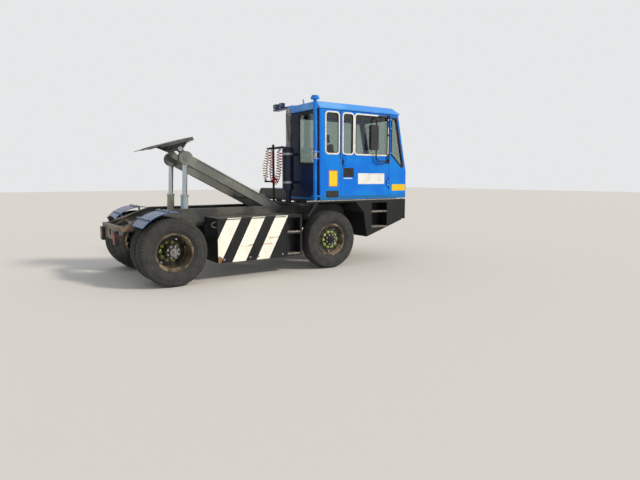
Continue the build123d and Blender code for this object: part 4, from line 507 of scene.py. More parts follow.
def moulded(name, colour, other, rough=0.5, grain_mm=3, depth_mm=0.12, ior=1.46):
    """Moulded or sprayed plastic: nearly even colour, with the mould's fine leather grain."""
    material, tree, place = open_material(name)
    cells = add_node(tree, "TexVoronoi", {"Vector": place, "Scale": 1000 / grain_mm}, feature="SMOOTH_F1")
    share = ramp(tree, grain(tree, place, 150, detail=6), 0.38, 0.7)
    close_material(tree, cells, depth_mm, IOR=ior,
                   Base_Color=mix(tree, share, colour, other),
                   Roughness=add_node(tree, "MapRange", (share, 0, 1, rough, rough + 0.15)))
    return material


window_glass = clear("toughened_glass", "#B9C4BF", 0.015)
lamp_glass = clear("lamp_glass", "#EEF2F2", 0.04)
orange_acrylic = moulded("orange_acrylic", "#9A3A0C", "#7E300A", 0.4, 6)
red_acrylic = moulded("red_acrylic", "#72110B", "#5C0D08", 0.4, 6)
black_abs = moulded("black_abs", "#17181A", "#25262A")
dash_abs = moulded("dash_abs", "#1D1F22", "#2A2C2E", 0.58, 4)
indicator_pe = moulded("fluorescent_indicator_pe", "#BBD932", "#9DB82A", 0.4, 8)
red_polyurethane = moulded("red_hose_polyurethane", "#B00A1C", "#8C0818", 0.6, 5, ior=1.3)
yellow_polyurethane = moulded("yellow_hose_polyurethane", "#E6A800", "#C89000", 0.6, 5, ior=1.3)
plate_white = moulded("bare_plate_white", "#ECEDE9", "#D9DAD4", 0.36, 9, 0.03)
plate_black = moulded("bare_plate_black", "#17181C", "#2A2B2F", 0.3, 9, 0.03)
decal_yellow = moulded("bare_decal_yellow", "#F9D21E", "#ECC216", 0.3, 9, 0.03)
decal_orange = moulded("bare_decal_orange", "#DE5B2E", "#C94B24", 0.3, 9, 0.03)
print("plastics ready")

# %% [markdown]
# The seat is woven cloth over foam, drawn with six-millimetre threads so that the weave shows. The
# front marker is a reflective film whose cells are a few millimetres across, and catch light like a
# honeycomb.

# %% Cloth and reflective film


def woven(name, colour, other, thread_mm):
    """Cloth: crossed waves a thread apart raise and darken it, and sheen lightens its edges."""
    material, tree, place = open_material(name)
    waves = [add_node(tree, "TexWave", {"Vector": place, "Scale": 1000 / thread_mm / tau,
                                        "Distortion": 0.4}, 1, bands_direction=axis)
             for axis in ("X", "Y", "Z")]
    across = maths(tree, "ADD", waves[0], waves[1])
    crossed = times(tree, across, waves[2])
    share = ramp(tree, crossed, 0.2, 1.2)
    close_material(tree, crossed, 0.4, Roughness=0.92, Sheen_Weight=0.35,
                   Base_Color=mix(tree, share, colour, other))
    return material


seat_cloth = woven("seat_wool_weave", "#2E3034", "#43464C", 6)
FILM_CELL_MM = 8
reflective, film_tree, film_place = open_material("reflective_film")
cells = add_node(film_tree, "TexVoronoi", {"Vector": film_place, "Scale": 1000 / FILM_CELL_MM},
                 feature="DISTANCE_TO_EDGE")
webs = ramp(film_tree, cells, 0.02, 0.1)
film_tone = mix(film_tree, webs, "#D9A808", "#FBD414")
close_material(film_tree, cells, 0.2, Base_Color=film_tone, Metallic=0.2, Roughness=0.28)
print("materials in all:", len(bpy.data.materials))

# %% [markdown]
# Every CAD solid that keeps its own shape now gets its finish. A table pairs the finish with its nodes.

# %% Finishes on the CAD solids
DRESS = (
    (rail_enamel, "frame_rails boom_brackets tail_beam"),
    (chassis_enamel, "cross_members lift_saddle step_frames sill_rails fuel_tank air_tanks front_bumper"),
    (cabinet_enamel, "side_cabinet"),
    (axle_iron, "front_axle rear_axle knuckle_left knuckle_right"),
    (leaf_steel, "front_springs tie_rod"),
    (engine_iron, "engine_block"),
    (hood_enamel_with_painted_shade, "engine_hood"),
    (fender_enamel, "rear_fenders"),
    (deck_enamel, "catwalk"),
    (cab_enamel, "cab_right_side cab_left_side cab_front cab_floor door intake_stack"),
    (roof_enamel_painted_light_and_shade, "cab_roof"),
    (rear_wall_painted_shade, "cab_rear_wall"),
    (window_glass, "cab_glass door_glass"),
    (lamp_glass, "headlamps"),
    (black_abs, "tail_lamps mirror"),
    (dash_abs, "dash steering_wheel"),
    (muffler_enamel, "exhaust_stack"),
    (boom_enamel, "boom"),
    (barrel_enamel_painted_reflection, "lift_barrels lift_stages"),
    (chrome, "lift_rods"),
    (plate_iron, "fifth_wheel"),
    (front_rim, "front_rim_left front_rim_right"),
    (rear_rim, "rear_rims_left rear_rims_right"),
)
for finish, names in DRESS:
    for name in names.split():
        nodes[name].data.materials.clear()
        nodes[name].data.materials.append(finish)
print("dressed", sum(len(names.split()) for _, names in DRESS), "nodes")

# %% [markdown]
# The air line and the lamp line to the trailer are coiled hoses: a thin tube wound like a spring, so that
# it stretches. Each has a route, a smooth curve with the given points that the frame also uses.
# The helix is then worked out around that curve, because its turns must stay even as the route bends.

# %% Coiled hoses
HOSE_DIAMETER = 0.015
COIL_OUTER = 0.055
TURN_PITCH = 0.05
POINTS_PER_TURN = 14
RED_ROUTE = ((2.27, -0.17, 2.17), (2.27, -0.17, 2.03), (2.262, -0.166, 1.9), (2.254, -0.18, 1.78),
             (2.246, -0.222, 1.67), (2.242, -0.276, 1.59), (2.242, -0.344, 1.586), (2.246, -0.4, 1.658),
             (2.254, -0.442, 1.77), (2.262, -0.456, 1.895), (2.27, -0.45, 2.03), (2.27, -0.45, 2.17))
YELLOW_ROUTE = ((2.27, -0.01, 2.2), (2.27, -0.01, 2.11), (2.25, 0.018, 2.01), (2.24, 0.056, 1.91),
                (2.246, 0.088, 1.81), (2.27, 0.1, 1.73), (2.27, 0.1, 1.64))


def spline(name, points, radius=0.0):
    """A smooth curve object through control points in the frame's places."""
    data = bpy.data.curves.new(name, "CURVE")
    data.dimensions = "3D"
    line = data.splines.new("NURBS")
    line.points.add(len(points) - 1)
    for target, point in zip(line.points, points):
        target.co = (*point, 1)
    line.order_u = 3
    line.use_endpoint_u = True
    line.resolution_u = 12
    data.bevel_depth = radius
    data.bevel_resolution = 3
    return bpy.data.objects.new(name, data)


def centreline(curve):
    """The points along a curve that has no bevel, in order."""
    drawn = bpy.data.meshes.new_from_object(curve)
    points = [vertex.co.copy() for vertex in drawn.vertices]
    bpy.data.meshes.remove(drawn)
    return points


def helix(points, radius, pitch, lead):
    """Turns around a line. They open out of its start and close into its end over a short lead."""
    lengths = [0.0]
    for before, after in zip(points, points[1:]):
        lengths.append(lengths[-1] + (after - before).length)
    whole = lengths[-1]
    count = round(whole / pitch) * POINTS_PER_TURN
    side = Vector((1, 0, 0))
    wound, k = [], 0
    for step in range(count + 1):
        along = whole * step / count
        while k < len(points) - 2 and lengths[k + 1] < along:
            k += 1
        ahead = (points[k + 1] - points[k]).normalized()
        here = points[k] + ahead * (along - lengths[k])
        side = (side - ahead * side.dot(ahead)).normalized()
        turn = tau * step / POINTS_PER_TURN
        near = min(along, whole - along)
        open_radius = radius * min(1.0, near / lead)
        wound.append(here + open_radius * (cos(turn) * side + sin(turn) * ahead.cross(side)))
    return wound


def line_length(points):
    return sum((after - before).length for before, after in zip(points, points[1:]))


def coiled_hose(name, node, route, finish):
    """A coiled hose in place of its plain solid."""
    guide = spline(name + "_guide", [at(*point) for point in route])
    wound = helix(centreline(guide), COIL_OUTER - HOSE_DIAMETER / 2 - 0.002, TURN_PITCH, 0.03)
    bpy.data.objects.remove(guide)
    hose = spline(name, wound, HOSE_DIAMETER / 2)
    hose.data.splines[0].resolution_u = 3
    hose.data.materials.append(finish)
    show(hose)
    bare = hose.copy()
    bare.data = hose.data.copy()
    bare.data.bevel_depth = 0
    length = line_length(centreline(bare))
    bpy.data.objects.remove(bare)
    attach(hose, "chassis")
    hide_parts(node)
    print(name, "is", round(length, 2), "m long in", len(wound) // POINTS_PER_TURN, "turns")


coiled_hose("red_coil", "hose_red", RED_ROUTE, red_polyurethane)
coiled_hose("yellow_coil", "hose_yellow", YELLOW_ROUTE, yellow_polyurethane)

# %% [markdown]
# Everything that follows is made of a few forms: blocks, round bars, turned parts, outlines with a
# thickness, and skins between rows of points. One class gathers such forms in a mesh, in the drawing's
# places, and makes a piece of them: it moves them into the frame, softens the edges with a bevel, keeps
# flat faces flat, and lets the piece ride on its body.

# %% A piece and its forms
SHARP = radians(35)


class Piece:
    """Forms gathered in one mesh, in metres from the rear axle."""

    def __init__(self, name):
        self.name = name
        self.mesh = bmesh.new()

    def block(self, low, high):
        """A box between two corners."""
        low, high = Vector(low), Vector(high)
        size = Matrix.Diagonal((*(high - low), 1))
        place = Matrix.Translation((low + high) / 2) @ size
        bmesh.ops.create_cube(self.mesh, size=1, matrix=place)

    def rod(self, start, end, radius, end_radius=None, sides=24):
        """A round bar, or a cone, between two points."""
        start, end = Vector(start), Vector(end)
        turn = (end - start).to_track_quat("Z", "Y").to_matrix().to_4x4()
        bmesh.ops.create_cone(self.mesh, cap_ends=True, segments=sides, radius1=radius,
                              radius2=radius if end_radius is None else end_radius,
                              depth=(end - start).length,
                              matrix=Matrix.Translation((start + end) / 2) @ turn)

    def skin(self, rows, ring=True, loop=False):
        """Faces between rows of points. ring closes each row, and loop joins the last row to the first."""
        rows = [[self.mesh.verts.new(point) for point in row] for row in rows]
        for low, high in zip(rows, rows[1:] + rows[:1] if loop else rows[1:]):
            for i in range(len(low) if ring else len(low) - 1):
                j = (i + 1) % len(low)
                self.mesh.faces.new((low[i], low[j], high[j], high[i]))
        return rows

    def slab(self, outline, place, low, high):
        """A flat outline with a thickness. place turns (along, up, out) into a point."""
        rows = self.skin([[place(a, b, out) for a, b in outline] for out in (low, high)])
        self.mesh.faces.new(rows[0][::-1])
        self.mesh.faces.new(rows[1])

    def turned(self, centre, axis, profile, sides=48):
        """A lathe form. profile has (along the axis, radius) pairs."""
        frame_of = Vector(axis).to_track_quat("Z", "Y").to_matrix()
        centre = Vector(centre)
        rows = [[centre + frame_of @ Vector((radius * cos(turn), radius * sin(turn), along))
                 for turn in (tau * i / sides for i in range(sides))] for along, radius in profile]
        self.skin(rows)

    def pipe(self, points, radius, sides=12):
        """A round bar along a smooth line through a few points."""
        guide = spline("pipe_guide", points)
        line = centreline(guide)
        bpy.data.objects.remove(guide)
        rows, side = [], (line[1] - line[0]).orthogonal().normalized()
        for i, point in enumerate(line):
            ahead = (line[min(i + 1, len(line) - 1)] - line[max(i - 1, 0)]).normalized()
            side = (side - ahead * side.dot(ahead)).normalized()
            across = ahead.cross(side)
            turns = [tau * k / sides for k in range(sides)]
            rows.append([point + radius * (cos(turn) * side + sin(turn) * across) for turn in turns])
        rows = self.skin(rows)
        self.mesh.faces.new(rows[0][::-1])
        self.mesh.faces.new(rows[-1])

    def stack(self, place, axis, steps):
        """Bars one on another along an axis of length 1. Each has a start, an end, a radius and sides."""
        for start, end, radius, sides in steps:
            self.rod(place + axis * start, place + axis * end, radius, sides=sides)

    def bolt(self, place, axis, across=0.024, height=0.014, washer=0.004):
        """A hexagon bolt's head on its washer, standing on a face."""
        top = washer + height
        self.stack(Vector(place), Vector(axis).normalized(), ((0, washer, across * 0.72, 20),
                                                              (washer, top, across * 0.577, 6)))

    def done(self, finish, bevel=0.0015, steps=2, body="chassis", replaces=()):
        """The piece as an object in the frame, riding on a body."""
        bmesh.ops.remove_doubles(self.mesh, verts=self.mesh.verts, dist=1e-6)
        bmesh.ops.translate(self.mesh, vec=at(0, 0, 0), verts=self.mesh.verts)
        bmesh.ops.recalc_face_normals(self.mesh, faces=self.mesh.faces)
        data = bpy.data.meshes.new(self.name)
        self.mesh.to_mesh(data)
        self.mesh.free()
        data.shade_smooth()
        data.set_sharp_from_angle(angle=SHARP)
        data.materials.append(finish)
        made = bpy.data.objects.new(self.name, data)
        show(made)
        if bevel:
            rounded_edges = made.modifiers.new("rounded_edges", "BEVEL")
            rounded_edges.width = bevel
            rounded_edges.segments = steps
            rounded_edges.limit_method = "ANGLE"
            rounded_edges.angle_limit = SHARP
            rounded_edges.harden_normals = True
        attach(made, body)
        if replaces:
            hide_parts(*replaces)
        return made


HANDS = (("left", 1), ("right", -1))


def span(hand, inner, outer):
    """A stretch across the vehicle on one side of it, low end first."""
    return sorted((hand * inner, hand * outer))


print("piece maker ready")

# %% [markdown]
# A tyre is a torus with a mould's detail: a rounded wall with fine rings, a square shoulder cut into
# blocks, and a nearly flat tread with grooves round it. Its section is a list of points. Each has a
# third number that says how far the gaps between the shoulder blocks cut in there. The section is
# carried round in small steps, and every sixth step is such a gap.

# %% Tyres
TYRE_STEPS = 360
BLOCK_STEPS = 6
GAP_SHARE = 0.55
WALL_HALF = ((0.1005, 0.2885, 0), (0.103, 0.304, 0), (0.112, 0.3075, 0), (0.116, 0.316, 0),
             (0.1285, 0.335, 0), (0.1345, 0.348, 0), (0.137, 0.35, 0), (0.139, 0.355, 0), (0.1425, 0.38, 0),
             (0.144, 0.405, 0), (0.145, 0.408, 0), (0.145, 0.42, 0), (0.1435, 0.424, 0), (0.142, 0.445, 0),
             (0.1405, 0.46, 0), (0.1435, 0.464, 0.001), (0.1425, 0.48, 0.008), (0.139, 0.498, 0.014),
             (0.133, 0.511, 0.018), (0.127, 0.518, 0.018), (0.118, 0.5215, 0.016), (0.088, 0.524, 0.012),
             (0.086, 0.5235, 0), (0.083, 0.511, 0), (0.075, 0.511, 0), (0.072, 0.5255, 0),
             (0.037, 0.529, 0), (0.034, 0.515, 0), (0.026, 0.515, 0), (0.023, 0.5297, 0), (0.0, 0.53, 0))
SECTION_MIDDLE = Vector((0, 0.42))


def add_tyre(piece, axle_x, middle_y):
    """One tyre about an axle, standing on the ground."""
    section = [(-y, r, cut) for y, r, cut in WALL_HALF] + [row for row in WALL_HALF[-2::-1]]
    rows = []
    for step in range(TYRE_STEPS):
        turn = tau * step / TYRE_STEPS
        gap = GAP_SHARE if step % BLOCK_STEPS == 0 else 0.0
        row = []
        for y, radius, cut in section:
            inward = (SECTION_MIDDLE - Vector((y, radius))).normalized() * cut * gap
            radius += inward.y
            row.append((axle_x + radius * cos(turn), middle_y + y + inward.x, AXLE_Z + radius * sin(turn)))
        rows.append(row)
    piece.skin(rows, ring=False, loop=True)


OUTER_Y, INNER_Y = 1.08, 0.745
for side, hand in HANDS:
    tyre = Piece("front_tread_" + side)
    add_tyre(tyre, WHEELBASE, hand * OUTER_Y)
    tyre.done(tyre_rubber, bevel=0, replaces=["front_tyre_" + side], body="front_wheel_" + side)
    tyre = Piece("rear_tread_" + side)
    add_tyre(tyre, 0, hand * OUTER_Y)
    add_tyre(tyre, 0, hand * INNER_Y)
    made = tyre.done(tyre_rubber, bevel=0, replaces=["rear_tyres_" + side], body="rear_wheels_" + side)
print("triangles in a pair of tyres:", sum(len(face.vertices) - 2 for face in made.data.polygons))

# %% [markdown]
# Ten nuts hold each wheel on a circle of 142 mm radius. Round each nut sits a small fluorescent arrow. If
# a nut turns, its arrow no longer points at its neighbour, which shows from a distance. The hub has its
# own ring of bolts, and a cap closes it.

# %% Nuts, indicators, hubs
NUT_CIRCLE, NUT_COUNT = 0.142, 10
HUB_BOLT_CIRCLE, HUB_BOLT_COUNT = 0.088, 8
WHEELS = (("front", WHEELBASE, 1.127, 1.169, 1.205, 0.062, "front_wheel_"),
          ("rear", 0.0, 0.9225, 1.12, 1.154, 0.069, "rear_wheels_"))


def on_circle(axle_x, radius, count, y, lead=0.0):
    """Places on a circle about an axle, with the direction outward from it."""
    for number in range(count):
        turn = tau * (number + lead) / count
        out = Vector((cos(turn), 0, sin(turn)))
        yield Vector((axle_x, y, AXLE_Z)) + out * radius, out


for name, axle_x, face, hub_face, cap_face, cap_radius, body in WHEELS:
    for side, hand in HANDS:
        outward = Vector((0, hand, 0))
        nuts = Piece(f"{name}_nuts_{side}")
        arrows = Piece(f"{name}_indicators_{side}")
        for place, out in on_circle(axle_x, NUT_CIRCLE, NUT_COUNT, hand * face):
            nuts.stack(place, outward, ((0, 0.006, 0.024, 24), (0.006, 0.028, 0.0185, 6),
                                        (0.028, 0.04, 0.01, 16)))
            ring = place + outward * 0.01
            arrows.rod(ring, ring + outward * 0.01, 0.0265)
            along = out.cross(outward)
            arrows.rod(ring + along * 0.016 + outward * 0.005, ring + along * 0.046 + outward * 0.005,
                       0.013, 0.003, 12)
        nuts.done(zinc, 0.001, body=body + side)
        arrows.done(indicator_pe, 0.001, body=body + side)
        hub = Piece(f"{name}_hub_bolts_{side}")
        for place, out in on_circle(axle_x, HUB_BOLT_CIRCLE, HUB_BOLT_COUNT, hand * hub_face, 0.5):
            hub.bolt(place, outward, 0.022, 0.012)
        hub.done(zinc, 0.001, body=body + side)
        cap = Piece(f"{name}_hub_cap_{side}")
        for low, radius in ((cap_face, cap_radius * 0.93), (cap_face + 0.004, cap_radius * 0.62)):
            cap.rod((axle_x, hand * (low - 0.004), AXLE_Z), (axle_x, hand * (low + 0.004), AXLE_Z), radius,
                    sides=36)
        cap.rod((axle_x, hand * cap_face, AXLE_Z), (axle_x, hand * (cap_face + 0.018), AXLE_Z), 0.017,
                sides=6)
        cap.done(axle_iron if name == "front" else stack_steel, 0.0015, body=body + side)
        valve = Piece(f"{name}_valve_{side}")
        foot = Vector((axle_x + 0.245, hand * (face + 0.01), AXLE_Z + 0.06))
        valve.pipe((foot, foot + outward * 0.03, foot + Vector((-0.012, hand * 0.055, -0.004))), 0.004)
        valve.rod(foot + Vector((-0.012, hand * 0.05, -0.004)),
                  foot + Vector((-0.016, hand * 0.066, -0.005)), 0.0055)
        valve.done(zinc, 0.0005, body=body + side)
print("nuts on every wheel")

# %% [markdown]
# The panes sit in rubber mouldings: cream ones on the three windows of the right side, black ones
# elsewhere, and a black lip inside each. A moulding is one section, wider than high with soft edges,
# carried round the pane's outline. The same outline moved outward by a distance gives each row of the
# skin. Walls turn such flat outlines into places on the drawing.

# %% Window rubbers
SIDE_Y, REAR_X, LEFT_Y = -1.195, 2.68, -0.045


def rounded(low, high, corner, steps=6):
    """A rectangle with round corners, anticlockwise, as (along, up) pairs."""
    points = []
    corners = ((high[0], high[1]), (low[0], high[1]), (low[0], low[1]), (high[0], low[1]))
    for quarter, (x, z) in enumerate(corners):
        middle = (x - corner if x == high[0] else x + corner, z - corner if z == high[1] else z + corner)
        for step in range(steps + 1):
            turn = (quarter + step / steps) * pi / 2
            points.append((middle[0] + corner * cos(turn), middle[1] + corner * sin(turn)))
    return points


def moved_out(points, by):
    """An anticlockwise outline moved outward by a distance."""
    moved = []
    for i, point in enumerate(points):
        here, before, after = Vector(point), Vector(points[i - 1]), Vector(points[(i + 1) % len(points)])
        first, second = (here - before).normalized(), (after - here).normalized()
        normal = Vector((first.y + second.y, -first.x - second.x)).normalized()
        moved.append(tuple(here + normal * by / max(0.3, normal.dot(Vector((first.y, -first.x))))))
    return moved


def wall(axis, stands, way=1):
    """Places on a wall across an axis, from a pair in the wall's plane and the way out of it."""
    def place(a, b, out):
        point = [a, b]
        point.insert("XYZ".index(axis), stands + way * out)
        return tuple(point)
    return place


on_side, on_left, on_rear = wall("Y", SIDE_Y, -1), wall("Y", LEFT_Y), wall("X", REAR_X, -1)

SCREEN_FOOT, SCREEN_HEAD = Vector((4.78, 0, 1.78)), Vector((4.54, 0, 2.89))
SCREEN_OUT = Vector((SCREEN_HEAD.z - SCREEN_FOOT.z, 0, SCREEN_FOOT.x - SCREEN_HEAD.x)).normalized()


def on_screen(a, b, out):
    """A place on the leaning windscreen, by width and height."""
    share = (b - SCREEN_FOOT.z) / (SCREEN_HEAD.z - SCREEN_FOOT.z)
    return SCREEN_FOOT.lerp(SCREEN_HEAD, share) + Vector((0, a, 0)) + SCREEN_OUT * out


CREAM_SECTION = ((-0.007, -0.01), (-0.007, 0.003), (-0.004, 0.007), (0.004, 0.009), (0.016, 0.008),
                 (0.021, 0.004), (0.023, -0.002))
LIP_SECTION = ((-0.015, -0.011), (-0.015, -0.002), (-0.011, 0.001), (-0.006, 0.002), (-0.005, -0.011))
QUARTER = ((4.38, 2.13), (4.66, 1.885), (4.69, 1.9), (4.495, 2.82), (4.38, 2.82))


def moulding(piece, outline, place, section, loop=True):
    """A section carried round an outline. It has pairs: how far outward, and how far out of the wall."""
    rows = [[place(a, b, out) for a, b in moved_out(outline, by)] for by, out in section]
    return piece.skin(rows, loop=loop)


def window_rubber(name, body, outline, place, finish, section=CREAM_SECTION):
    rubber_piece = Piece(name)
    moulding(rubber_piece, outline, place, section)
    rubber_piece.done(finish, 0, body=body)


ROUND = 0.055
PANES = (
    ("rear_side_pane", "chassis", rounded((2.805, 2.105), (3.09, 2.835), ROUND), on_side, gasket_rubber),
    ("small_door_pane", "side_door", rounded((3.19, 2.105), (3.425, 2.835), ROUND), on_side, gasket_rubber),
    ("large_door_pane", "side_door", rounded((3.468, 2.105), (4.285, 2.835), ROUND), on_side, gasket_rubber),
    ("right_quarter_pane", "chassis", QUARTER, on_side, seal_rubber),
    ("left_quarter_pane", "chassis", QUARTER, on_left, seal_rubber),
    ("left_pane", "chassis", rounded((2.83, 1.96), (4.27, 2.835), ROUND), on_left, seal_rubber),
    ("rear_pane", "chassis", rounded((-1.11, 1.93), (-0.48, 2.845), ROUND), on_rear, seal_rubber),
    ("screen", "chassis", rounded((-1.11, 1.84), (-0.13, 2.825), 0.07), on_screen, seal_rubber),
)
for name, body, outline, place, finish in PANES:
    window_rubber(name + "_rubber", body, outline, place, finish)
    window_rubber(name + "_lip", body, outline, place, seal_rubber, LIP_SECTION)
print("panes with rubbers:", len(PANES))

# %% [markdown]
# The driver's seat is a sprung one: a pedestal with bellows, a cushion, a back and a headrest. Cushions
# are foam under cloth, so they are blown up by a cloth simulation from slimmer bodies, which rounds them
# and pulls the sides in between the corners. Sewn channels are pressed in afterwards.

# %% Driver's seat
SEAT_Y = -0.62
FLOOR_Z = 1.305
PAD_VOXEL = 0.006
PAD_GROWTH = 0.01
PAD_FRAMES = 20


def grown(pad, limit):
    """Blows a pad up by cloth pressure, and keeps each point within a limit of where it was."""
    before = [vertex.co.copy() for vertex in pad.data.vertices]
    cloth = pad.modifiers.new("pressure", "CLOTH")
    cloth.settings.use_pressure = True
    cloth.settings.uniform_pressure_force = 4
    cloth.settings.effector_weights.gravity = 0
    scene = bpy.context.scene
    for number in range(1, PAD_FRAMES + 1):
        scene.frame_set(number)
    blown = bpy.data.meshes.new_from_object(pad.evaluated_get(bpy.context.evaluated_depsgraph_get()))
    moves = [vertex.co - start for vertex, start in zip(blown.vertices, before)]
    pad.modifiers.remove(cloth)
    bpy.data.meshes.remove(blown)
    scene.frame_set(1)
    for vertex, start, move in zip(pad.data.vertices, before, moves):
        vertex.co = start + (move if move.length < limit else move.normalized() * limit)


def seat_pad(name, outline, half_width, channels=()):
    """A cushion from its side outline. channels are sewn lines, by height or depth along the outline."""
    pad = Piece(name)
    pad.slab(outline, wall("Y", SEAT_Y), -half_width, half_width)
    made = pad.done(seat_cloth, 0)
    remesh = made.modifiers.new("even_skin", "REMESH")
    remesh.mode = "VOXEL"
    remesh.voxel_size = PAD_VOXEL
    rounder = made.modifiers.new("soft_corners", "SMOOTH")
    rounder.iterations = 14
    flat = bpy.data.meshes.new_from_object(made.evaluated_get(bpy.context.evaluated_depsgraph_get()))
    made.modifiers.clear()
    made.data = flat
    grown(made, PAD_GROWTH)
    made.data.shade_smooth()
    for axis, place, depth in channels:
        for vertex in made.data.vertices:
            near = abs(vertex.co[axis] - place) / 0.012
            if near < 1:
                vertex.co -= vertex.normal * depth * (1 - near * near)
    return made


CUSHION = ((3.24, 1.615), (3.715, 1.632), (3.735, 1.7), (3.705, 1.722), (3.245, 1.698))
cushion = seat_pad("seat_cushion", CUSHION, 0.232,
                   ((1, SEAT_Y - 0.115, 0.006), (1, SEAT_Y + 0.115, 0.006), (0, at(3.58, 0, 0).x, 0.005)))
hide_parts("seat")
seat_pad("seat_back", ((3.232, 1.722), (3.33, 1.722), (3.228, 2.3), (3.142, 2.3)), 0.218,
         ((1, SEAT_Y - 0.11, 0.005), (1, SEAT_Y + 0.11, 0.005), (2, 2.02, 0.005)))
seat_pad("seat_headrest", ((3.142, 2.33), (3.218, 2.33), (3.206, 2.48), (3.134, 2.48)), 0.128)

base = Piece("seat_base")
base.block((3.252, SEAT_Y - 0.168, FLOOR_Z), (3.668, SEAT_Y + 0.168, 1.34))
base.block((3.262, SEAT_Y - 0.158, 1.56), (3.66, SEAT_Y + 0.158, 1.612))
for number in range(6):
    low = 1.342 + number * 0.036
    base.skin([[(x, SEAT_Y + y, z) for x, y in ((3.27 - d, -0.145 - d), (3.65 + d, -0.145 - d),
                                                (3.65 + d, 0.145 + d), (3.27 - d, 0.145 + d))]
               for z, d in ((low, 0), (low + 0.009, 0.012), (low + 0.027, 0.012), (low + 0.036, 0))])
for y in (-0.06, 0.06):
    base.rod((3.18, SEAT_Y + y, 2.29), (3.178, SEAT_Y + y, 2.35), 0.007)
base.done(black_abs, 0.003)
print("seat has cushion, back, headrest and bellows")

# %% [markdown]
# Plates and stickers sit on the side wall. All are bare: a white plate, a black plate held by four
# rivets with a white strip below it, a yellow sticker with an orange border, and a reflective marker
# near the front corner.

# %% Plates and markers


def plate(name, body, along, up, finish, thickness=0.0015, corner=0.012, rivets=False):
    """A thin sheet with round corners on a wall, riveted or stuck."""
    sheet = Piece(name)
    sheet.slab(rounded((along[0], up[0]), (along[1], up[1]), corner, 4), on_side, -0.0004, thickness)
    if rivets:
        for a in (along[0] + 0.014, along[1] - 0.014):
            for b in (up[0] + 0.014, up[1] - 0.014):
                sheet.rod(on_side(a, b, thickness), on_side(a, b, thickness + 0.002), 0.005, 0.003, 12)
    sheet.done(finish, 0.0003, body=body)


plate("white_plate", "side_door", (3.545, 4.205), (1.547, 1.751), plate_white)
plate("black_plate", "side_door", (3.195, 3.445), (1.68, 1.848), plate_black, rivets=True)
plate("black_plate_strip", "side_door", (3.205, 3.4), (1.648, 1.664), plate_white, corner=0.003)
plate("yellow_sticker_border", "chassis", (2.87, 3.068), (1.505, 1.8), decal_orange, 0.0008)
plate("yellow_sticker_field", "chassis", (2.882, 3.056), (1.517, 1.788), decal_yellow, 0.0012, 0.008)
plate("side_reflector", "chassis", (4.41, 4.762), (1.412, 1.538), reflective, 0.0012, 0.006)
print("plates are bare")

# %% [markdown]
# Three lift-off hinges carry the door, each with a leaf and bolts on both sides. The latch is a black
# paddle in a dish with a lock barrel. A rubber seal fills the gap round the door, and a strip covers its
# rear edge. Low on the wall behind it a louvred vent in a black frame lets air to the heater.

# %% Door hardware and vent
HINGE_X, HINGE_Y, HINGE_FEET = 4.322, -1.207, (1.5, 2.0, 2.64)
for name, body, near, far in (("door_hinge_bolts", "side_door", -0.046, -0.024),
                              ("post_hinge_bolts", "chassis", 0.024, 0.038)):
    bolts = Piece(name)
    for foot in HINGE_FEET:
        heights = (foot + 0.025, foot + 0.105) if body == "side_door" else (foot - 0.02, foot + 0.15)
        for z in heights:
            for x in (near, far) if body == "side_door" else ((near + far) / 2,):
                bolts.bolt((HINGE_X + x, HINGE_Y - 0.003, z), (0, -1, 0), 0.013, 0.006, 0.0015)
    bolts.done(zinc, 0.0006, body=body)

latch = Piece("latch_dish")
latch.skin([[on_side(a, b, out) for a, b in rounded((3.172 - g, 1.918 - g), (3.202 + g, 1.988 + g), 0.012)]
            for g, out in ((0.008, -0.001), (0.008, 0.002), (0.005, 0.004), (0.001, 0.004),
                           (-0.003, -0.004))])
latch.slab(rounded((3.172, 1.918), (3.202, 1.988), 0.008), on_side, -0.012, -0.004)
latch.slab(rounded((3.175, 1.93), (3.199, 1.984), 0.006), on_side, -0.004, 0.003)
latch.rod(on_side(3.187, 1.896, 0), on_side(3.187, 1.896, 0.006), 0.011, 0.01)
latch.done(black_abs, 0.001, body="side_door")
window_rubber("door_seal", "chassis", rounded((3.1432, 1.3082), (4.3168, 2.8868), 0.004), on_side,
              seal_rubber, ((-0.0024, -0.014), (-0.0024, -0.004), (0.0024, -0.004), (0.0024, -0.014)))
edge = Piece("door_edge_rubber")
edge.slab(rounded((3.125, 2.02), (3.14, 2.884), 0.004), on_side, -0.0005, 0.004)
edge.done(seal_rubber, 0.0008)

VENT_X, VENT_Z, VENT_FINS = (2.815, 3.085), (1.312, 1.428), 5
vent_outline = rounded((VENT_X[0], VENT_Z[0]), (VENT_X[1], VENT_Z[1]), 0.01)
vent = Piece("heater_vent")
vent.slab(vent_outline, on_side, -0.001, 0.001)
step = (VENT_Z[1] - VENT_Z[0] - 0.02) / VENT_FINS
for number in range(VENT_FINS):
    low = VENT_Z[0] + 0.012 + number * step
    vent.skin([[on_side(x, low + up, out) for up, out in ((0, 0.0005), (0, 0.009), (step * 0.8, 0.0015),
                                                          (step * 0.8, 0.0005))]
               for x in (VENT_X[0] + 0.014, VENT_X[1] - 0.014)])
vent.done(seal_rubber, 0.0008)
frame_of_vent = Piece("heater_vent_frame")
moulding(frame_of_vent, vent_outline, on_side, ((-0.008, 0.001), (-0.007, 0.004), (0.003, 0.004),
                                                (0.004, 0.0)))
frame_of_vent.done(black_abs, 0)
print("hinges", len(HINGE_FEET), "and vent fins", VENT_FINS)

# %% [markdown]
# The mirror's head is a black shell with the glass set in its rear face, and clamps hold it to the
# bowed rod. A thin wire hooks from the head to the lower foot, and an upright stay joins the two feet.
# The rain gutters are folded strips under the roof's edge.

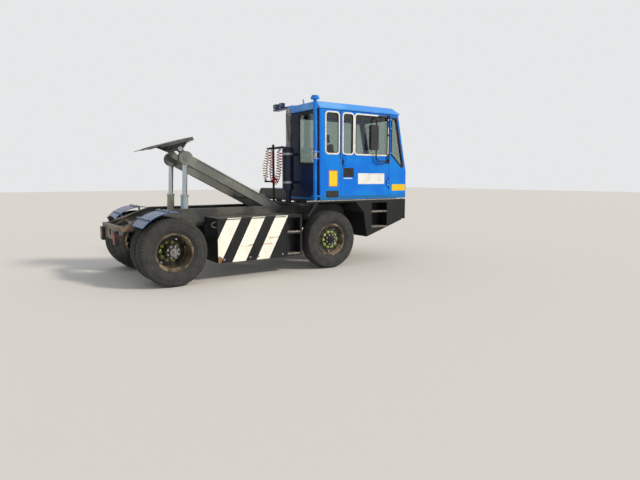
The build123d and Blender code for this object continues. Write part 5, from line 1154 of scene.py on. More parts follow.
# %% Mirror and roof edge
MIRROR_X, MIRROR_Z, MIRROR_FACE_Y, ARM_Y = (3.79, 3.98), (2.19, 2.66), -1.215, -1.253
on_mirror = wall("Y", MIRROR_FACE_Y)
mirror_outline = rounded((MIRROR_X[0] + 0.014, MIRROR_Z[0] + 0.016),
                         (MIRROR_X[1] - 0.014, MIRROR_Z[1] - 0.016), 0.026)
glass = Piece("mirror_glass")
glass.slab(mirror_outline, on_mirror, -0.001, 0.003)
glass.done(mirror_silver, 0.0008, body="side_door")
rim = Piece("mirror_rim")
moulding(rim, mirror_outline, on_mirror, ((-0.004, 0.0), (-0.004, 0.005), (0.003, 0.007), (0.01, 0.004),
                                          (0.011, -0.002)))
rim.done(black_abs, 0, body="side_door")
HEAD_CLAMPS_Z, FEET_Z = (2.255, 2.595), (1.985, 2.835)
clamps = Piece("mirror_clamps")
for z in HEAD_CLAMPS_Z:
    clamps.rod((3.94, ARM_Y, z - 0.016), (3.94, ARM_Y, z + 0.016), 0.0175)
    clamps.block((3.93, ARM_Y - 0.004, z - 0.013), (3.972, ARM_Y + 0.012, z + 0.013))
    clamps.bolt((3.962, ARM_Y - 0.004, z), (0, -1, 0), 0.01, 0.006, 0.001)
for z in FEET_Z:
    for x in (-0.018, 0.014):
        for up in (-0.019, 0.019):
            clamps.bolt((4.275 + x, -1.217, z + up), (0, -1, 0), 0.01, 0.005, 0.0015)
clamps.pipe(((3.93, ARM_Y, 2.19), (3.925, ARM_Y + 0.004, 2.08), (3.95, ARM_Y + 0.01, 1.965),
             (4.08, ARM_Y + 0.012, 1.935), (4.2, ARM_Y + 0.02, 1.955), (4.262, -1.214, 1.968)), 0.005)
clamps.done(seal_rubber, 0.0008, body="side_door")
stay = Piece("mirror_stay")
STAY_X, STAY_Y, STAY_LUG_Z = 4.283, -1.236, 2.488
stay.rod((STAY_X, STAY_Y, 1.968), (STAY_X, STAY_Y, 2.852), 0.012)
stay.rod((STAY_X, STAY_Y, STAY_LUG_Z - 0.018), (STAY_X, STAY_Y, STAY_LUG_Z + 0.018), 0.017)
for z in (FEET_Z[0], STAY_LUG_Z, FEET_Z[1]):
    stay.block((STAY_X - 0.007, STAY_Y, z - 0.01), (STAY_X + 0.007, -1.199, z + 0.01))
stay.done(black_abs, 0.001, body="side_door")

gutter = Piece("roof_gutters")
GUTTER = ((0.0, 2.893), (0.014, 2.893), (0.014, 2.91), (0.0115, 2.91), (0.0115, 2.8955), (0.0, 2.8955))
for wall_y, way in ((-1.201, -1), (-0.039, 1)):
    gutter.skin([[(x, wall_y + way * (out - 0.001), z) for out, z in GUTTER] for x in (2.665, 4.56)])
gutter.skin([[(2.661 - out, y, z) for out, z in GUTTER] for y in (-1.185, -0.055)])
gutter.done(roof_enamel_painted_light_and_shade, 0.0008)
print("mirror and gutters done")

# %% [markdown]
# On top of the roof's rear edge two work lamps point backwards from a flat bar. Each has a ribbed lens
# behind a bezel. An aerial's rubber foot stands beside them, and the wiper is parked at the screen's foot.

# %% Work lamps, aerial, wiper
bezels, lenses = Piece("work_lamp_bezels"), Piece("work_lamp_lenses")
WORK_LAMP_X, WORK_LAMP_Z, WORK_LAMP_YS = 2.67, 3.096, (0.415, 0.195)
BEZEL_SECTION = ((0.0, -0.001), (0.0, 0.008), (0.007, 0.008), (0.01, 0.003), (0.01, -0.001))
for lamp_y in WORK_LAMP_YS:
    def on_lamp(a, b, out, middle=lamp_y):
        return (WORK_LAMP_X - out, middle + a, WORK_LAMP_Z + b)
    lamp_outline = rounded((-0.052, -0.03), (0.052, 0.03), 0.012)
    moulding(bezels, lamp_outline, on_lamp, BEZEL_SECTION)
    lenses.slab(lamp_outline, on_lamp, -0.0005, 0.004)
    for number in range(9):
        y = lamp_y - 0.04 + number * 0.01
        lenses.rod((WORK_LAMP_X - 0.004, y, WORK_LAMP_Z - 0.026),
                   (WORK_LAMP_X - 0.004, y, WORK_LAMP_Z + 0.026), 0.002, sides=8)
    for way in (-1, 1):
        bezels.bolt((WORK_LAMP_X + 0.03, lamp_y + way * 0.065, 3.1), (0, way, 0), 0.014, 0.006)
bezels.done(black_abs, 0.0006)
lenses.done(lamp_glass, 0)
aerial = Piece("aerial_foot")
aerial.turned((2.695, -0.64, 3.013), (0, 0, 1), ((0, 0.001), (0, 0.03), (0.008, 0.029), (0.016, 0.02),
                                                 (0.018, 0.001)))
aerial.done(seal_rubber, 0.0008)

WIPER_FOOT = (-0.62, 1.812)
wiper = Piece("screen_wiper")
wiper.rod(on_screen(*WIPER_FOOT, 0), on_screen(*WIPER_FOOT, 0.02), 0.013)
wiper.rod(on_screen(*WIPER_FOOT, 0.018), on_screen(-0.3, 1.865, 0.018), 0.006, 0.004)
wiper.rod(on_screen(*WIPER_FOOT, 0.014), on_screen(-0.42, 1.852, 0.014), 0.009, 0.006)
for out, thick in ((0.014, 0.004), (0.008, 0.0025)):
    wiper.rod(on_screen(-0.56, 1.88, out), on_screen(-0.06, 1.86, out), thick, sides=10)
wiper.rod(on_screen(-0.3, 1.862, 0.018), on_screen(-0.3, 1.872, 0.01), 0.006)
wiper.done(seal_rubber, 0.0006)
print("lamps, aerial and wiper placed")

# %% [markdown]
# Behind the cab stands the silencer with its pipe in a perforated guard, so that nobody touches hot
# steel, and beside it a thin bright breather that rises from a cone. The guard is a curved sheet made
# cell by cell: each cell is a square of sheet with a round hole in the middle.

# %% Silencer and guard
STACK, BREATHER, MUFFLER = Vector((2.49, -0.435, 0)), Vector((2.49, -0.347, 0)), Vector((2.49, -0.385, 0))
UP = Vector((0, 0, 1))
GUARD_RADIUS, GUARD_CELL, HOLE_RADIUS = 0.058, 0.0178, 0.0058
GUARD_HEIGHTS, GUARD_TURNS = (2.24, 2.85), (radians(95), radians(345))


def perforated(piece, middle, radius, heights, turns, cell, hole):
    """A curved sheet with round holes about an upright line. turns are its first and last angle."""
    columns = round(radius * (turns[1] - turns[0]) / cell)
    rows = round((heights[1] - heights[0]) / cell)
    half = cell / 2
    outer = [(half, 0), (half, half), (0, half), (-half, half), (-half, 0), (-half, -half), (0, -half),
             (half, -half)]
    inner = [(hole * cos(k * pi / 4), hole * sin(k * pi / 4)) for k in range(8)]
    for column in range(columns):
        for row in range(rows):
            turn = turns[0] + (column + 0.5) * cell / radius
            height = heights[0] + (row + 0.5) * cell

            def on_guard(a, b):
                return middle + Vector((radius * cos(turn + a / radius), radius * sin(turn + a / radius),
                                        height + b))
            piece.skin([[on_guard(a, b) for a, b in ring] for ring in (outer, inner)])
    return columns * rows


def hoop(piece, centre, z, half, inner, outer):
    """A flat hoop about an upright line, at a height."""
    piece.turned(centre, UP, ((z - half, inner), (z - half, outer), (z + half, outer), (z + half, inner)))


guard = Piece("stack_guard")
holes = perforated(guard, STACK, GUARD_RADIUS, GUARD_HEIGHTS, GUARD_TURNS, GUARD_CELL, HOLE_RADIUS)
made = guard.done(stack_steel, 0)
sheet = made.modifiers.new("sheet", "SOLIDIFY")
sheet.thickness = 0.0015

tops = Piece("stack_tops")
tops.turned(STACK, UP, ((2.855, 0.0432), (2.855, 0.0452), (2.934, 0.0452), (2.9345, 0.0432)))
for z in (2.255, 2.545, 2.835):
    hoop(tops, STACK, z, 0.008, 0.0432, 0.0605)
tops.done(stack_steel, 0.0005)
breather = Piece("breather_pipe")
breather.turned(BREATHER, UP, ((2.212, 0.001), (2.212, 0.046), (2.222, 0.046), (2.29, 0.0145),
                               (2.913, 0.0145), (2.914, 0.001)))
breather.done(zinc, 0.0006)

bands = Piece("muffler_bands")
for z in (1.58, 2.11):
    hoop(bands, MUFFLER, z, 0.02, 0.1075, 0.11)
    for x in (-0.008, 0.008):
        bands.block(MUFFLER + Vector((x - 0.0025, -0.142, z - 0.018)),
                    MUFFLER + Vector((x + 0.0025, -0.106, z + 0.018)))
    bands.bolt(MUFFLER + Vector((0.0105, -0.128, z)), (1, 0, 0), 0.012, 0.007)
bands.done(zinc, 0.0006)
seams = Piece("muffler_seams")
for z in (1.447, 2.203):
    seams.turned(MUFFLER, UP, ((z - 0.008, 0.104), (z - 0.005, 0.1112), (z + 0.005, 0.1112),
                               (z + 0.008, 0.104)))
seams.rod(MUFFLER + Vector((0.0, 0.108, 1.45)), MUFFLER + Vector((0.0, 0.108, 2.2)), 0.003, sides=8)
seams.done(muffler_enamel, 0)
print("guard holes:", holes)

# %% [markdown]
# The air intake is a tall pipe at the cab's corner. A ribbed sleeve between two bright band clamps joins
# its halves, and the rain cap has ribs all round, between which the engine breathes.

# %% Intake, clamps and cap
INTAKE = Vector((2.585, -1.17, 0))
sleeve = Piece("intake_sleeve")
sleeve.turned(INTAKE, UP, [(2.026 + 0.007 * k, 0.0375 if k % 2 else 0.0335) for k in range(13)])
sleeve.done(zinc, 0)
clamp_bands = Piece("intake_clamps")
for z in (2.007, 2.127):
    hoop(clamp_bands, INTAKE, z, 0.01, 0.0388, 0.0412)
    clamp_bands.block(INTAKE + Vector((-0.058, -0.01, z - 0.007)),
                      INTAKE + Vector((-0.038, 0.006, z + 0.007)))
    clamp_bands.rod(INTAKE + Vector((-0.049, -0.024, z)), INTAKE + Vector((-0.049, 0.018, z)), 0.003,
                    sides=12)
clamp_bands.done(zinc, 0.0006)
CAP_RIBS, CAP_RADIUS = 36, 0.0755
cap_ribs = Piece("intake_cap_ribs")
for number in range(CAP_RIBS):
    out = Vector((cos(tau * number / CAP_RIBS), sin(tau * number / CAP_RIBS), 0))
    cap_ribs.rod(INTAKE + out * CAP_RADIUS + UP * 3.04, INTAKE + out * CAP_RADIUS + UP * 3.068, 0.0026,
                 sides=8)
cap_ribs.done(roof_enamel_painted_light_and_shade, 0)
print("intake ribs:", CAP_RIBS)

# %% [markdown]
# The walkway is chequer plate: raised lozenges on a 38 mm grid, each turned against its neighbours so
# that a boot finds grip in both directions. Rounds on the step treads do the same. The treads are worn
# to rusty steel.

# %% Chequer plate and treads


def lozenge(piece, x, y, z, turn, length=0.03, width=0.009, height=0.0018):
    outline = ((length / 2, 0), (length * 0.2, width / 2), (-length * 0.2, width / 2), (-length / 2, 0),
               (-length * 0.2, -width / 2), (length * 0.2, -width / 2))
    piece.slab(outline, lambda a, b, out: (x + a * cos(turn) - b * sin(turn),
                                           y + a * sin(turn) + b * cos(turn), z + out), -0.0003, height)


deck = Piece("deck_lozenges")
DECK_X, DECK_Y, DECK_TOP, GRID = (2.3, 2.667), (-1.125, 0.94), 1.2, 0.038
BLOCKED = ((2.34, -0.09, 0.085), (2.49, -0.385, 0.075))
for column in range(int((DECK_X[1] - DECK_X[0]) / GRID)):
    for row in range(int((DECK_Y[1] - DECK_Y[0]) / GRID)):
        x, y = DECK_X[0] + (column + 0.5) * GRID, DECK_Y[0] + (row + 0.5) * GRID
        if all(hypot(x - bx, y - by) > reach for bx, by, reach in BLOCKED):
            lozenge(deck, x, y, DECK_TOP, pi / 4 if (column + row) % 2 else -pi / 4)
for y in (-1.08, -0.62, 0.42, 0.9):
    for x in (2.318, 2.652):
        deck.bolt((x, y, DECK_TOP), (0, 0, 1), 0.016, 0.008, 0.002)
deck.done(deck_enamel, 0)


STUD_PITCH = 0.036


def tread(name, x, z, depth, hand, outer=1.195):
    """A grip plate on a step's floor with round studs and a rolled front edge."""
    plate_piece = Piece(name)
    y_out, y_in = hand * (outer - 0.004), hand * (outer - depth + 0.004)
    plate_piece.block((x[0] + 0.004, min(y_out, y_in), z), (x[1] - 0.004, max(y_out, y_in), z + 0.004))
    plate_piece.block((x[0] + 0.002, hand * outer - 0.0015, z - 0.013),
                      (x[1] - 0.002, hand * outer + 0.0015, z + 0.004))
    plate_piece.rod((x[0] + 0.002, hand * outer, z + 0.004), (x[1] - 0.002, hand * outer, z + 0.004),
                    0.0035, sides=10)
    columns, rows = int((x[1] - x[0]) / STUD_PITCH), int(depth / STUD_PITCH)
    for column in range(columns):
        for row in range(rows):
            stud = Vector((x[0] + (column + 0.7) * STUD_PITCH, hand * (outer - (row + 0.7) * STUD_PITCH),
                           z + 0.004))
            plate_piece.rod(stud, stud + UP * 0.005, 0.009, 0.006, 12)
    plate_piece.done(tread_steel, 0.0005)


STEP_X, STEP_FLOORS = (3.89, 4.29), (("upper", 1.015), ("lower", 0.715))
for side, hand in HANDS:
    for level, floor_z in STEP_FLOORS:
        tread(f"{level}_tread_{side}", STEP_X, floor_z, 0.23, hand)
for level, floor_z in (("upper", 0.73), ("lower", 0.345)):
    tread(f"{level}_cabinet_tread", (1.99, 2.25), floor_z, 0.17, -1)
print("lozenges and studs placed")

# %% [markdown]
# The hose rack: a gland with a hexagon nut holds each end of a coil. Bolts fasten the rack to the cab and
# to the deck, and a rubber cap closes its post.

# %% Rack fittings
GLANDS = ((2.27, -0.17, 2.17, 1), (2.27, -0.45, 2.17, 1), (2.27, -0.01, 2.2, 1), (2.27, 0.1, 1.64, -1))
fittings = Piece("hose_gland_nuts")
for x, y, z, way in GLANDS:
    fittings.rod((x, y, z + way * 0.002), (x, y, z + way * 0.02), 0.0265, sides=6)
    fittings.rod((x, y, z + way * 0.02), (x, y, z + way * 0.03), 0.0225, sides=24)
for y in (-0.37, -0.25, 0.0):
    fittings.bolt((2.32, y, 2.23), (-1, 0, 0), 0.014, 0.008)
for x, y in ((-0.045, -0.045), (0.045, -0.045), (-0.045, 0.045), (0.045, 0.045)):
    fittings.bolt((2.34 + x, -0.09 + y, 1.21), (0, 0, 1), 0.014, 0.008)
fittings.done(zinc, 0.0006)
post = Piece("rack_post_cap")
post.turned((2.34, -0.09, 2.29), UP, ((-0.004, 0.001), (-0.004, 0.0245), (0.004, 0.0245), (0.01, 0.016),
                                      (0.012, 0.001)))
post.done(seal_rubber, 0.0005)
print("glands:", len(GLANDS))

# %% [markdown]
# Round the lower body: the worn edge of the sill, the slot in the step box, hinges and quarter-turn locks
# of the cabinet, a small loop on its rear end, and the fuel tank's cap and strap bolts.

# %% Sill, cabinet and tank fittings
for side, hand in HANDS:
    edge = Piece("sill_edge_" + side)
    edge.skin([[(x, hand * (1.1945 + out), z) for out, z in ((0, 1.24), (0.0015, 1.241), (0.0025, 1.252),
                                                             (0.001, 1.2565), (-0.012, 1.257),
                                                             (-0.012, 1.2545))] for x in (2.392, 4.738)])
    edge.done(tread_steel, 0)
plate("step_box_slot", "chassis", (4.388, 4.41), (0.945, 1.052), seal_rubber, 0.0006, 0.01)
slot_rim = Piece("step_box_slot_rim")
moulding(slot_rim, rounded((4.388, 0.945), (4.41, 1.052), 0.01), on_side,
         ((-0.001, 0.0004), (0.0, 0.0025), (0.0035, 0.002), (0.0045, -0.0004)))
slot_rim.done(chassis_enamel, 0)

cabinet = Piece("cabinet_hinges")
for low, high in ((0.75, 1.32), (1.365, 1.94)):
    for number in range(6):
        start = low + (high - low) * number / 6
        cabinet.rod((start + 0.003, -1.197, 1.0), (start + (high - low) / 6 - 0.003, -1.197, 1.0), 0.006,
                    sides=14)
cabinet.block((0.716, -1.1965, 0.9925), (1.96, -1.1945, 1.0075))
cabinet.done(chassis_enamel, 0.0005)
LOCK_Z = 0.35
locks = Piece("cabinet_locks")
for x in (0.8, 1.27, 1.42, 1.89):
    for near, far, radius in ((-1.1945, -1.199, 0.016), (-1.199, -1.202, 0.011)):
        locks.rod((x, near, LOCK_Z), (x, far, LOCK_Z), radius)
    locks.block((x - 0.0085, -1.2035, LOCK_Z - 0.002), (x + 0.0085, -1.201, LOCK_Z + 0.002))
locks.done(zinc, 0.0005)
loop_bar = Piece("cabinet_loop")
loop_bar.pipe(((0.705, -1.15, 0.962), (0.64, -1.15, 0.958), (0.606, -1.15, 0.918), (0.64, -1.15, 0.878),
               (0.705, -1.15, 0.874)), 0.01)
for z in (0.962, 0.874):
    loop_bar.block((0.694, -1.172, z - 0.02), (0.701, -1.128, z + 0.02))
loop_bar.done(rail_enamel, 0.001)

CAP_X, CAP_Y, KNURLS = 2.04, 1.06, 24
tank = Piece("tank_cap")
tank.turned((CAP_X, CAP_Y, 1.03), UP, ((0, 0.001), (0, 0.05), (0.006, 0.053), (0.032, 0.052), (0.04, 0.046),
                                       (0.04, 0.001)))
for number in range(KNURLS):
    out = Vector((cos(tau * number / KNURLS), sin(tau * number / KNURLS), 0))
    tank.rod(Vector((CAP_X, CAP_Y, 1.038)) + out * 0.052, Vector((CAP_X, CAP_Y, 1.06)) + out * 0.0515,
             0.0028, sides=6)
tank.done(black_abs, 0.0008)
straps = Piece("tank_strap_bolts")
for x in (1.095, 1.945):
    straps.block((x - 0.03, 1.186, 0.64), (x + 0.03, 1.192, 0.72))
    for z in (0.655, 0.705):
        straps.rod((x - 0.012, 1.19, z), (x + 0.012, 1.19, z), 0.01)
    straps.rod((x, 1.194, 0.61), (x, 1.194, 0.75), 0.0055, sides=12)
straps.done(zinc, 0.0008)
print("sill, cabinet and tank fitted")

# %% [markdown]
# The fenders are rolled sheets: a wire bead stiffens each curved edge, and bolts with large washers hold
# them to two stays. The tail carries lamp boxes with red and orange lenses and a round side lamp. The
# headlamps get a ribbed glass, a black frame and a bright bowl behind the glass.

# %% Fenders and lamps
FENDER_R, FENDER_TURNS, FENDER_EDGES = 0.615, (radians(78.6), radians(139.4)), (0.612, 1.215)


def around(radius, turn, y, axle_x=0.0):
    return Vector((axle_x + radius * cos(turn), y, AXLE_Z + radius * sin(turn)))


for side, hand in HANDS:
    beads = Piece("fender_beads_" + side)
    turns = [FENDER_TURNS[0] + (FENDER_TURNS[1] - FENDER_TURNS[0]) * k / 12 for k in range(13)]
    for edge in FENDER_EDGES:
        beads.pipe([around(FENDER_R, turn, hand * edge) for turn in turns], 0.0055, 10)
    for turn in FENDER_TURNS:
        beads.rod(around(FENDER_R, turn, hand * FENDER_EDGES[0]),
                  around(FENDER_R, turn, hand * FENDER_EDGES[1]), 0.0045, sides=10)
    beads.done(fender_enamel, 0)
    stays = Piece("fender_bolts_" + side)
    for turn in (radians(95), radians(125)):
        out = Vector((cos(turn), 0, sin(turn)))
        for y in (0.7, 0.9, 1.1):
            stays.rod(around(0.6175, turn, hand * y), around(0.644, turn, hand * y), 0.014)
            stays.bolt(around(0.644, turn, hand * y), out, 0.014, 0.007, 0.0015)
            stays.rod(around(0.608, turn, hand * y), around(0.6125, turn, hand * y), 0.016)
    stays.done(zinc, 0.0008)

TAIL_X, TAIL_Z, RIB_PITCH = -0.72, (0.615, 0.84), 0.008
housing, red, orange = Piece("tail_lamp_housings"), Piece("tail_lamp_red"), Piece("tail_lamp_orange")
on_tail = wall("X", TAIL_X + 0.006, -1)
for side, hand in HANDS:
    y_low, y_high = span(hand, 0.385, 0.555)
    box_outline = rounded((y_low, TAIL_Z[0]), (y_high, TAIL_Z[1]), 0.014)
    rows = moulding(housing, box_outline, on_tail,
                    ((0, -0.049), (0, -0.004), (-0.004, 0.002), (-0.01, 0.003), (-0.012, 0.0)), loop=False)
    housing.mesh.faces.new(rows[0])
    housing.mesh.faces.new(rows[-1])
    cuts = (TAIL_Z[0] + 0.016, TAIL_Z[0] + 0.08, TAIL_Z[0] + 0.145, TAIL_Z[1] - 0.016)
    for number, lens in enumerate((red, orange, red)):
        low, high = cuts[number] + 0.001, cuts[number + 1] - 0.001
        lens.slab(rounded((y_low + 0.016, low), (y_high - 0.016, high), 0.008, 4), on_tail, 0.0, 0.0045)
        for rib in range(int((high - low - 0.016) / RIB_PITCH)):
            z = low + 0.01 + rib * RIB_PITCH
            lens.rod(on_tail(y_low + 0.024, z, 0.0042), on_tail(y_high - 0.024, z, 0.0042), 0.0016, sides=8)
    for y in (y_low + 0.008, y_high - 0.008):
        housing.bolt(on_tail(y, TAIL_Z[0] + 0.008, 0.0005), (-1, 0, 0), 0.007, 0.002, 0.0005)
    side_low, side_high = span(hand, 0.553, 0.574)
    housing.block((-0.71, side_low, 0.735), (-0.67, side_high, 0.805))
    lamp = Vector((-0.69, hand * 0.573, 0.77))
    red.turned(lamp, (0, hand, 0), ((0, 0.001), (0, 0.0175), (0.004, 0.0165), (0.0065, 0.01),
                                    (0.007, 0.001)), 28)
housing.done(black_abs, 0.0008, replaces=["tail_lamps"])
red.done(red_acrylic, 0)
orange.done(orange_acrylic, 0)

HEADLAMP_RIBS, HEADLAMP_RIB_PITCH, HEADLAMP_FACE_X = 17, 0.0103, 4.818
FRAME_SECTION = ((0.0005, 0.0), (0.0005, 0.0115), (0.0046, 0.0115), (0.0046, 0.0))
BOWL_PROFILE = ((0, 4.8264), (0.004, 4.8235), (0.016, 4.8205), (0.034, 4.8192))
ribs, bezel, bowls = Piece("headlamp_ribs"), Piece("headlamp_bezels"), Piece("headlamp_reflectors")
for side, hand in HANDS:
    for number in range(HEADLAMP_RIBS):
        y = hand * (0.778 + number * HEADLAMP_RIB_PITCH)
        ribs.rod((4.8278, y, 0.982), (4.8278, y, 1.098), 0.0017, sides=8)
    y_low, y_high = span(hand, 0.765, 0.955)
    moulding(bezel, rounded((y_low, 0.97), (y_high, 1.11), 0.004), wall("X", HEADLAMP_FACE_X),
             FRAME_SECTION)
    y_low, y_high = span(hand, 0.776, 0.944)
    rows = bowls.skin([[(x, a, b) for a, b in rounded((y_low + inset, 0.981 + inset),
                                                      (y_high - inset, 1.099 - inset), 0.01 + inset / 3)]
                       for inset, x in BOWL_PROFILE])
    bowls.mesh.faces.new(rows[-1])
    bowls.turned((4.8195, hand * 0.86, 1.04), (1, 0, 0),
                 ((0, 0.001), (0, 0.014), (0.004, 0.013), (0.0065, 0.006), (0.007, 0.001)), 28)
ribs.done(lamp_glass, 0)
bezel.done(black_abs, 0)
bowls.done(zinc, 0)
print("fenders and lamps fitted")

# %% [markdown]
# The frame is bolted together. Rows of bolt heads follow each rail's web at the cross members, and the
# tail ramps carry wear strips that trailers polish, with a stop block. Two U-bolts clamp each front
# spring to the axle.

# %% Frame and springs
RAIL_FACE, RAIL_LOW, RAIL_HIGH = 0.525, 0.905, 1.105
CLUSTERS = (0.245, 0.36, 1.0, 1.64, 2.22, 2.38, 3.6, 4.48, 4.59)
for side, hand in HANDS:
    heads = Piece("rail_bolts_" + side)
    for x in CLUSTERS:
        for z in (RAIL_LOW, (RAIL_LOW + RAIL_HIGH) / 2, RAIL_HIGH):
            heads.bolt((x, hand * RAIL_FACE, z), (0, hand, 0), 0.02, 0.01, 0.003)
    for x in (-0.3, -0.38, -0.6):
        for z in (0.855, 0.905):
            heads.bolt((x, hand * RAIL_FACE, z), (0, hand, 0), 0.018, 0.009, 0.003)
    heads.done(rail_enamel, 0.0008)

RAMP_TOP, RAMP_FOOT = Vector((0.12, 0, 1.15)), Vector((-0.605, 0, 0.905))
ramp_up = Vector((RAMP_FOOT.z - RAMP_TOP.z, 0, RAMP_TOP.x - RAMP_FOOT.x)).normalized()


def on_ramp(share, y, up):
    return RAMP_TOP.lerp(RAMP_FOOT, share) + Vector((0, y, 0)) + ramp_up * up


STOP_PROFILE = ((0.84, 0.004), (0.84, 0.04), (0.88, 0.085), (0.96, 0.085), (0.96, 0.004))
strips, stops = Piece("ramp_wear_strips"), Piece("ramp_stops")
for side, hand in HANDS:
    y_low, y_high = span(hand, 0.45, 0.52)
    strips.skin([[on_ramp(share, y, up) for y, up in ((y_low, -0.0005), (y_low, 0.005), (y_high, 0.005),
                                                      (y_high, -0.0005))] for share in (0.02, 0.985)])
    for share in (0.1, 0.35, 0.6, 0.85):
        strips.rod(on_ramp(share, hand * 0.485, 0.004), on_ramp(share, hand * 0.485, 0.0065), 0.011, 0.01)
    corners = [on_ramp(share, 0, up) for share, up in STOP_PROFILE]
    stops.slab([(point.x, point.z) for point in corners], wall("Y", 0), *span(hand, 0.462, 0.508))
strips.done(plate_iron, 0.001)
stops.done(chassis_enamel, 0.002)

SPRING_Y, SPRING_TOP, BEAM_LOW = 0.485, 0.575, 0.385
clips = Piece("spring_clamps")
for side, hand in HANDS:
    for x in (WHEELBASE - 0.072, WHEELBASE + 0.072):
        inner, outer = hand * (SPRING_Y - 0.052), hand * (SPRING_Y + 0.052)
        clips.pipe(((x, inner, BEAM_LOW), (x, inner, SPRING_TOP - 0.03),
                    (x, hand * (SPRING_Y - 0.04), SPRING_TOP), (x, hand * SPRING_Y, SPRING_TOP + 0.006),
                    (x, hand * (SPRING_Y + 0.04), SPRING_TOP), (x, outer, SPRING_TOP - 0.03),
                    (x, outer, BEAM_LOW)), 0.0085, 10)
        for y in (inner, outer):
            clips.rod((x, y, BEAM_LOW + 0.004), (x, y, BEAM_LOW - 0.012), 0.015, sides=6)
clips.done(leaf_steel, 0)
print("bolt heads in each rail:", len(CLUSTERS) * 3 + 6)

# %% [markdown]
# At its head the boom's pins end in caps with bolts, and at the foot two fittings feed the lift circuit.
# Weld beads run along the arms. The cylinders show what a workshop would look for: a gland nut with
# spanner notches on the barrel and on the stage, port bosses, and grease nipples at the eyes.

# %% Boom and cylinder fittings
PIVOT, HEAD = Vector((2.3, 0, 1.06)), Vector((0.5, 0, 1.99))
along_boom = (HEAD - PIVOT).normalized()
above_boom = Vector((along_boom.z, 0, -along_boom.x))


def nipple(piece, place, axis):
    """A grease nipple: hexagon, neck and ball."""
    place, axis = Vector(place), Vector(axis).normalized()
    piece.stack(place, axis, ((0, 0.006, 0.0055, 6), (0.006, 0.011, 0.0028, 10)))
    piece.rod(place + axis * 0.011, place + axis * 0.016, 0.0038, 0.0022, 10)


caps = Piece("boom_pin_caps")
beads = Piece("boom_weld_beads")
for side, hand in HANDS:
    outward = Vector((0, hand, 0))
    pin = HEAD + outward * 0.42
    caps.stack(pin, outward, ((-0.001, 0.008, 0.05, 24), (0.008, 0.012, 0.03, 24)))
    for turn in (radians(40), radians(160), radians(280)):
        caps.bolt(pin + Vector((0.04 * cos(turn), hand * 0.008, 0.04 * sin(turn))), outward, 0.011, 0.006,
                  0.001)
    nipple(caps, pin + outward * 0.012, outward)
    for away in (0.43, 0.47):
        elbow = PIVOT + along_boom * away + above_boom * 0.075 + Vector((0, hand * 0.395, 0))
        caps.stack(elbow, above_boom, ((0, 0.028, 0.014, 6), (0.028, 0.04, 0.009, 24)))
    for up in (-0.0795, 0.0795):
        for y in (0.3105, 0.4195):
            ends = [PIVOT + along_boom * away + above_boom * up + Vector((0, hand * y, 0))
                    for away in (0.16, 1.9)]
            beads.rod(*ends, 0.0035, sides=8)
caps.done(boom_enamel, 0.0008, body="boom_arm")
beads.done(boom_enamel, 0, body="boom_arm")

LIFT_BASE = Vector((0.42, 0, 0.37))
up_lift = (HEAD - LIFT_BASE).normalized()
ahead_lift = Vector((up_lift.z, 0, -up_lift.x))
BARREL_TOP, STAGE_TOP, LIFT_Y = 0.655, 1.01, 0.365


def gland_nut(piece, top, radius, inner, height, y):
    """A round nut with six spanner notches, on a cylinder's end."""
    foot = LIFT_BASE + up_lift * (top - height) + Vector((0, y, 0))
    piece.turned(foot, up_lift, ((0, inner), (0, radius), (height - 0.004, radius),
                                 (height, radius - 0.004), (height, inner)))
    for number in range(6):
        turn = tau * number / 6
        out = ahead_lift * cos(turn) + Vector((0, sin(turn), 0))
        piece.rod(foot + up_lift * height * 0.25 + out * (radius - 0.002),
                  foot + up_lift * height * 0.75 + out * (radius - 0.002), 0.005, sides=8)


barrels, stages, rods = Piece("barrel_fittings"), Piece("stage_glands"), Piece("rod_fittings")
for side, hand in HANDS:
    y = hand * LIFT_Y
    gland_nut(barrels, BARREL_TOP, 0.0745, 0.069, 0.034, y)
    gland_nut(stages, STAGE_TOP + 0.003, 0.0685, 0.064, 0.03, y)
    boss = LIFT_BASE + up_lift * 0.17 + ahead_lift * 0.066 + Vector((0, y, 0))
    barrels.stack(boss, ahead_lift, ((0, 0.02, 0.02, 24), (0.02, 0.034, 0.016, 6)))
    nipple(barrels, LIFT_BASE + Vector((-0.058, y, 0)), (-1, 0, 0))
    nipple(rods, HEAD + Vector((-0.061, y, 0)), (-1, 0, 0))
barrels.done(barrel_enamel_painted_reflection, 0.0008, body="lift_barrel_pair")
stages.done(zinc, 0.0008, body="lift_stage_pair")
rods.done(zinc, 0.0004, body="lift_rod_pair")
saddle = Piece("saddle_pin_plates")
for side, hand in HANDS:
    face = hand * (LIFT_Y + 0.035 + 0.005 + 0.024)
    for x in (-0.045, 0.045):
        saddle.bolt((0.42 + x, face, 0.405), (0, hand, 0), 0.016, 0.008)
saddle.done(zinc, 0.0008)
print("cylinder fittings placed")

# %% [markdown]
# The fifth wheel is what the trailer's pin locks into. Its top has grease channels and countersunk
# bolts. A wear ring lies round the pin's bore, and a release lever with a looped handle reaches out on
# the right. The jaw's spring and the lever's rod show from below.

# %% Fifth wheel
PLATE_PIVOT, TILT = Vector((0.44, 0, 2.15)), radians(-15.5)
PLATE_TOP, LOCK_X = 0.14, -0.04


def on_plate(x, y, z):
    """A place drawn with the pivot at zero and the plate level."""
    return PLATE_PIVOT + Vector((x * cos(TILT) + z * sin(TILT), y, -x * sin(TILT) + z * cos(TILT)))


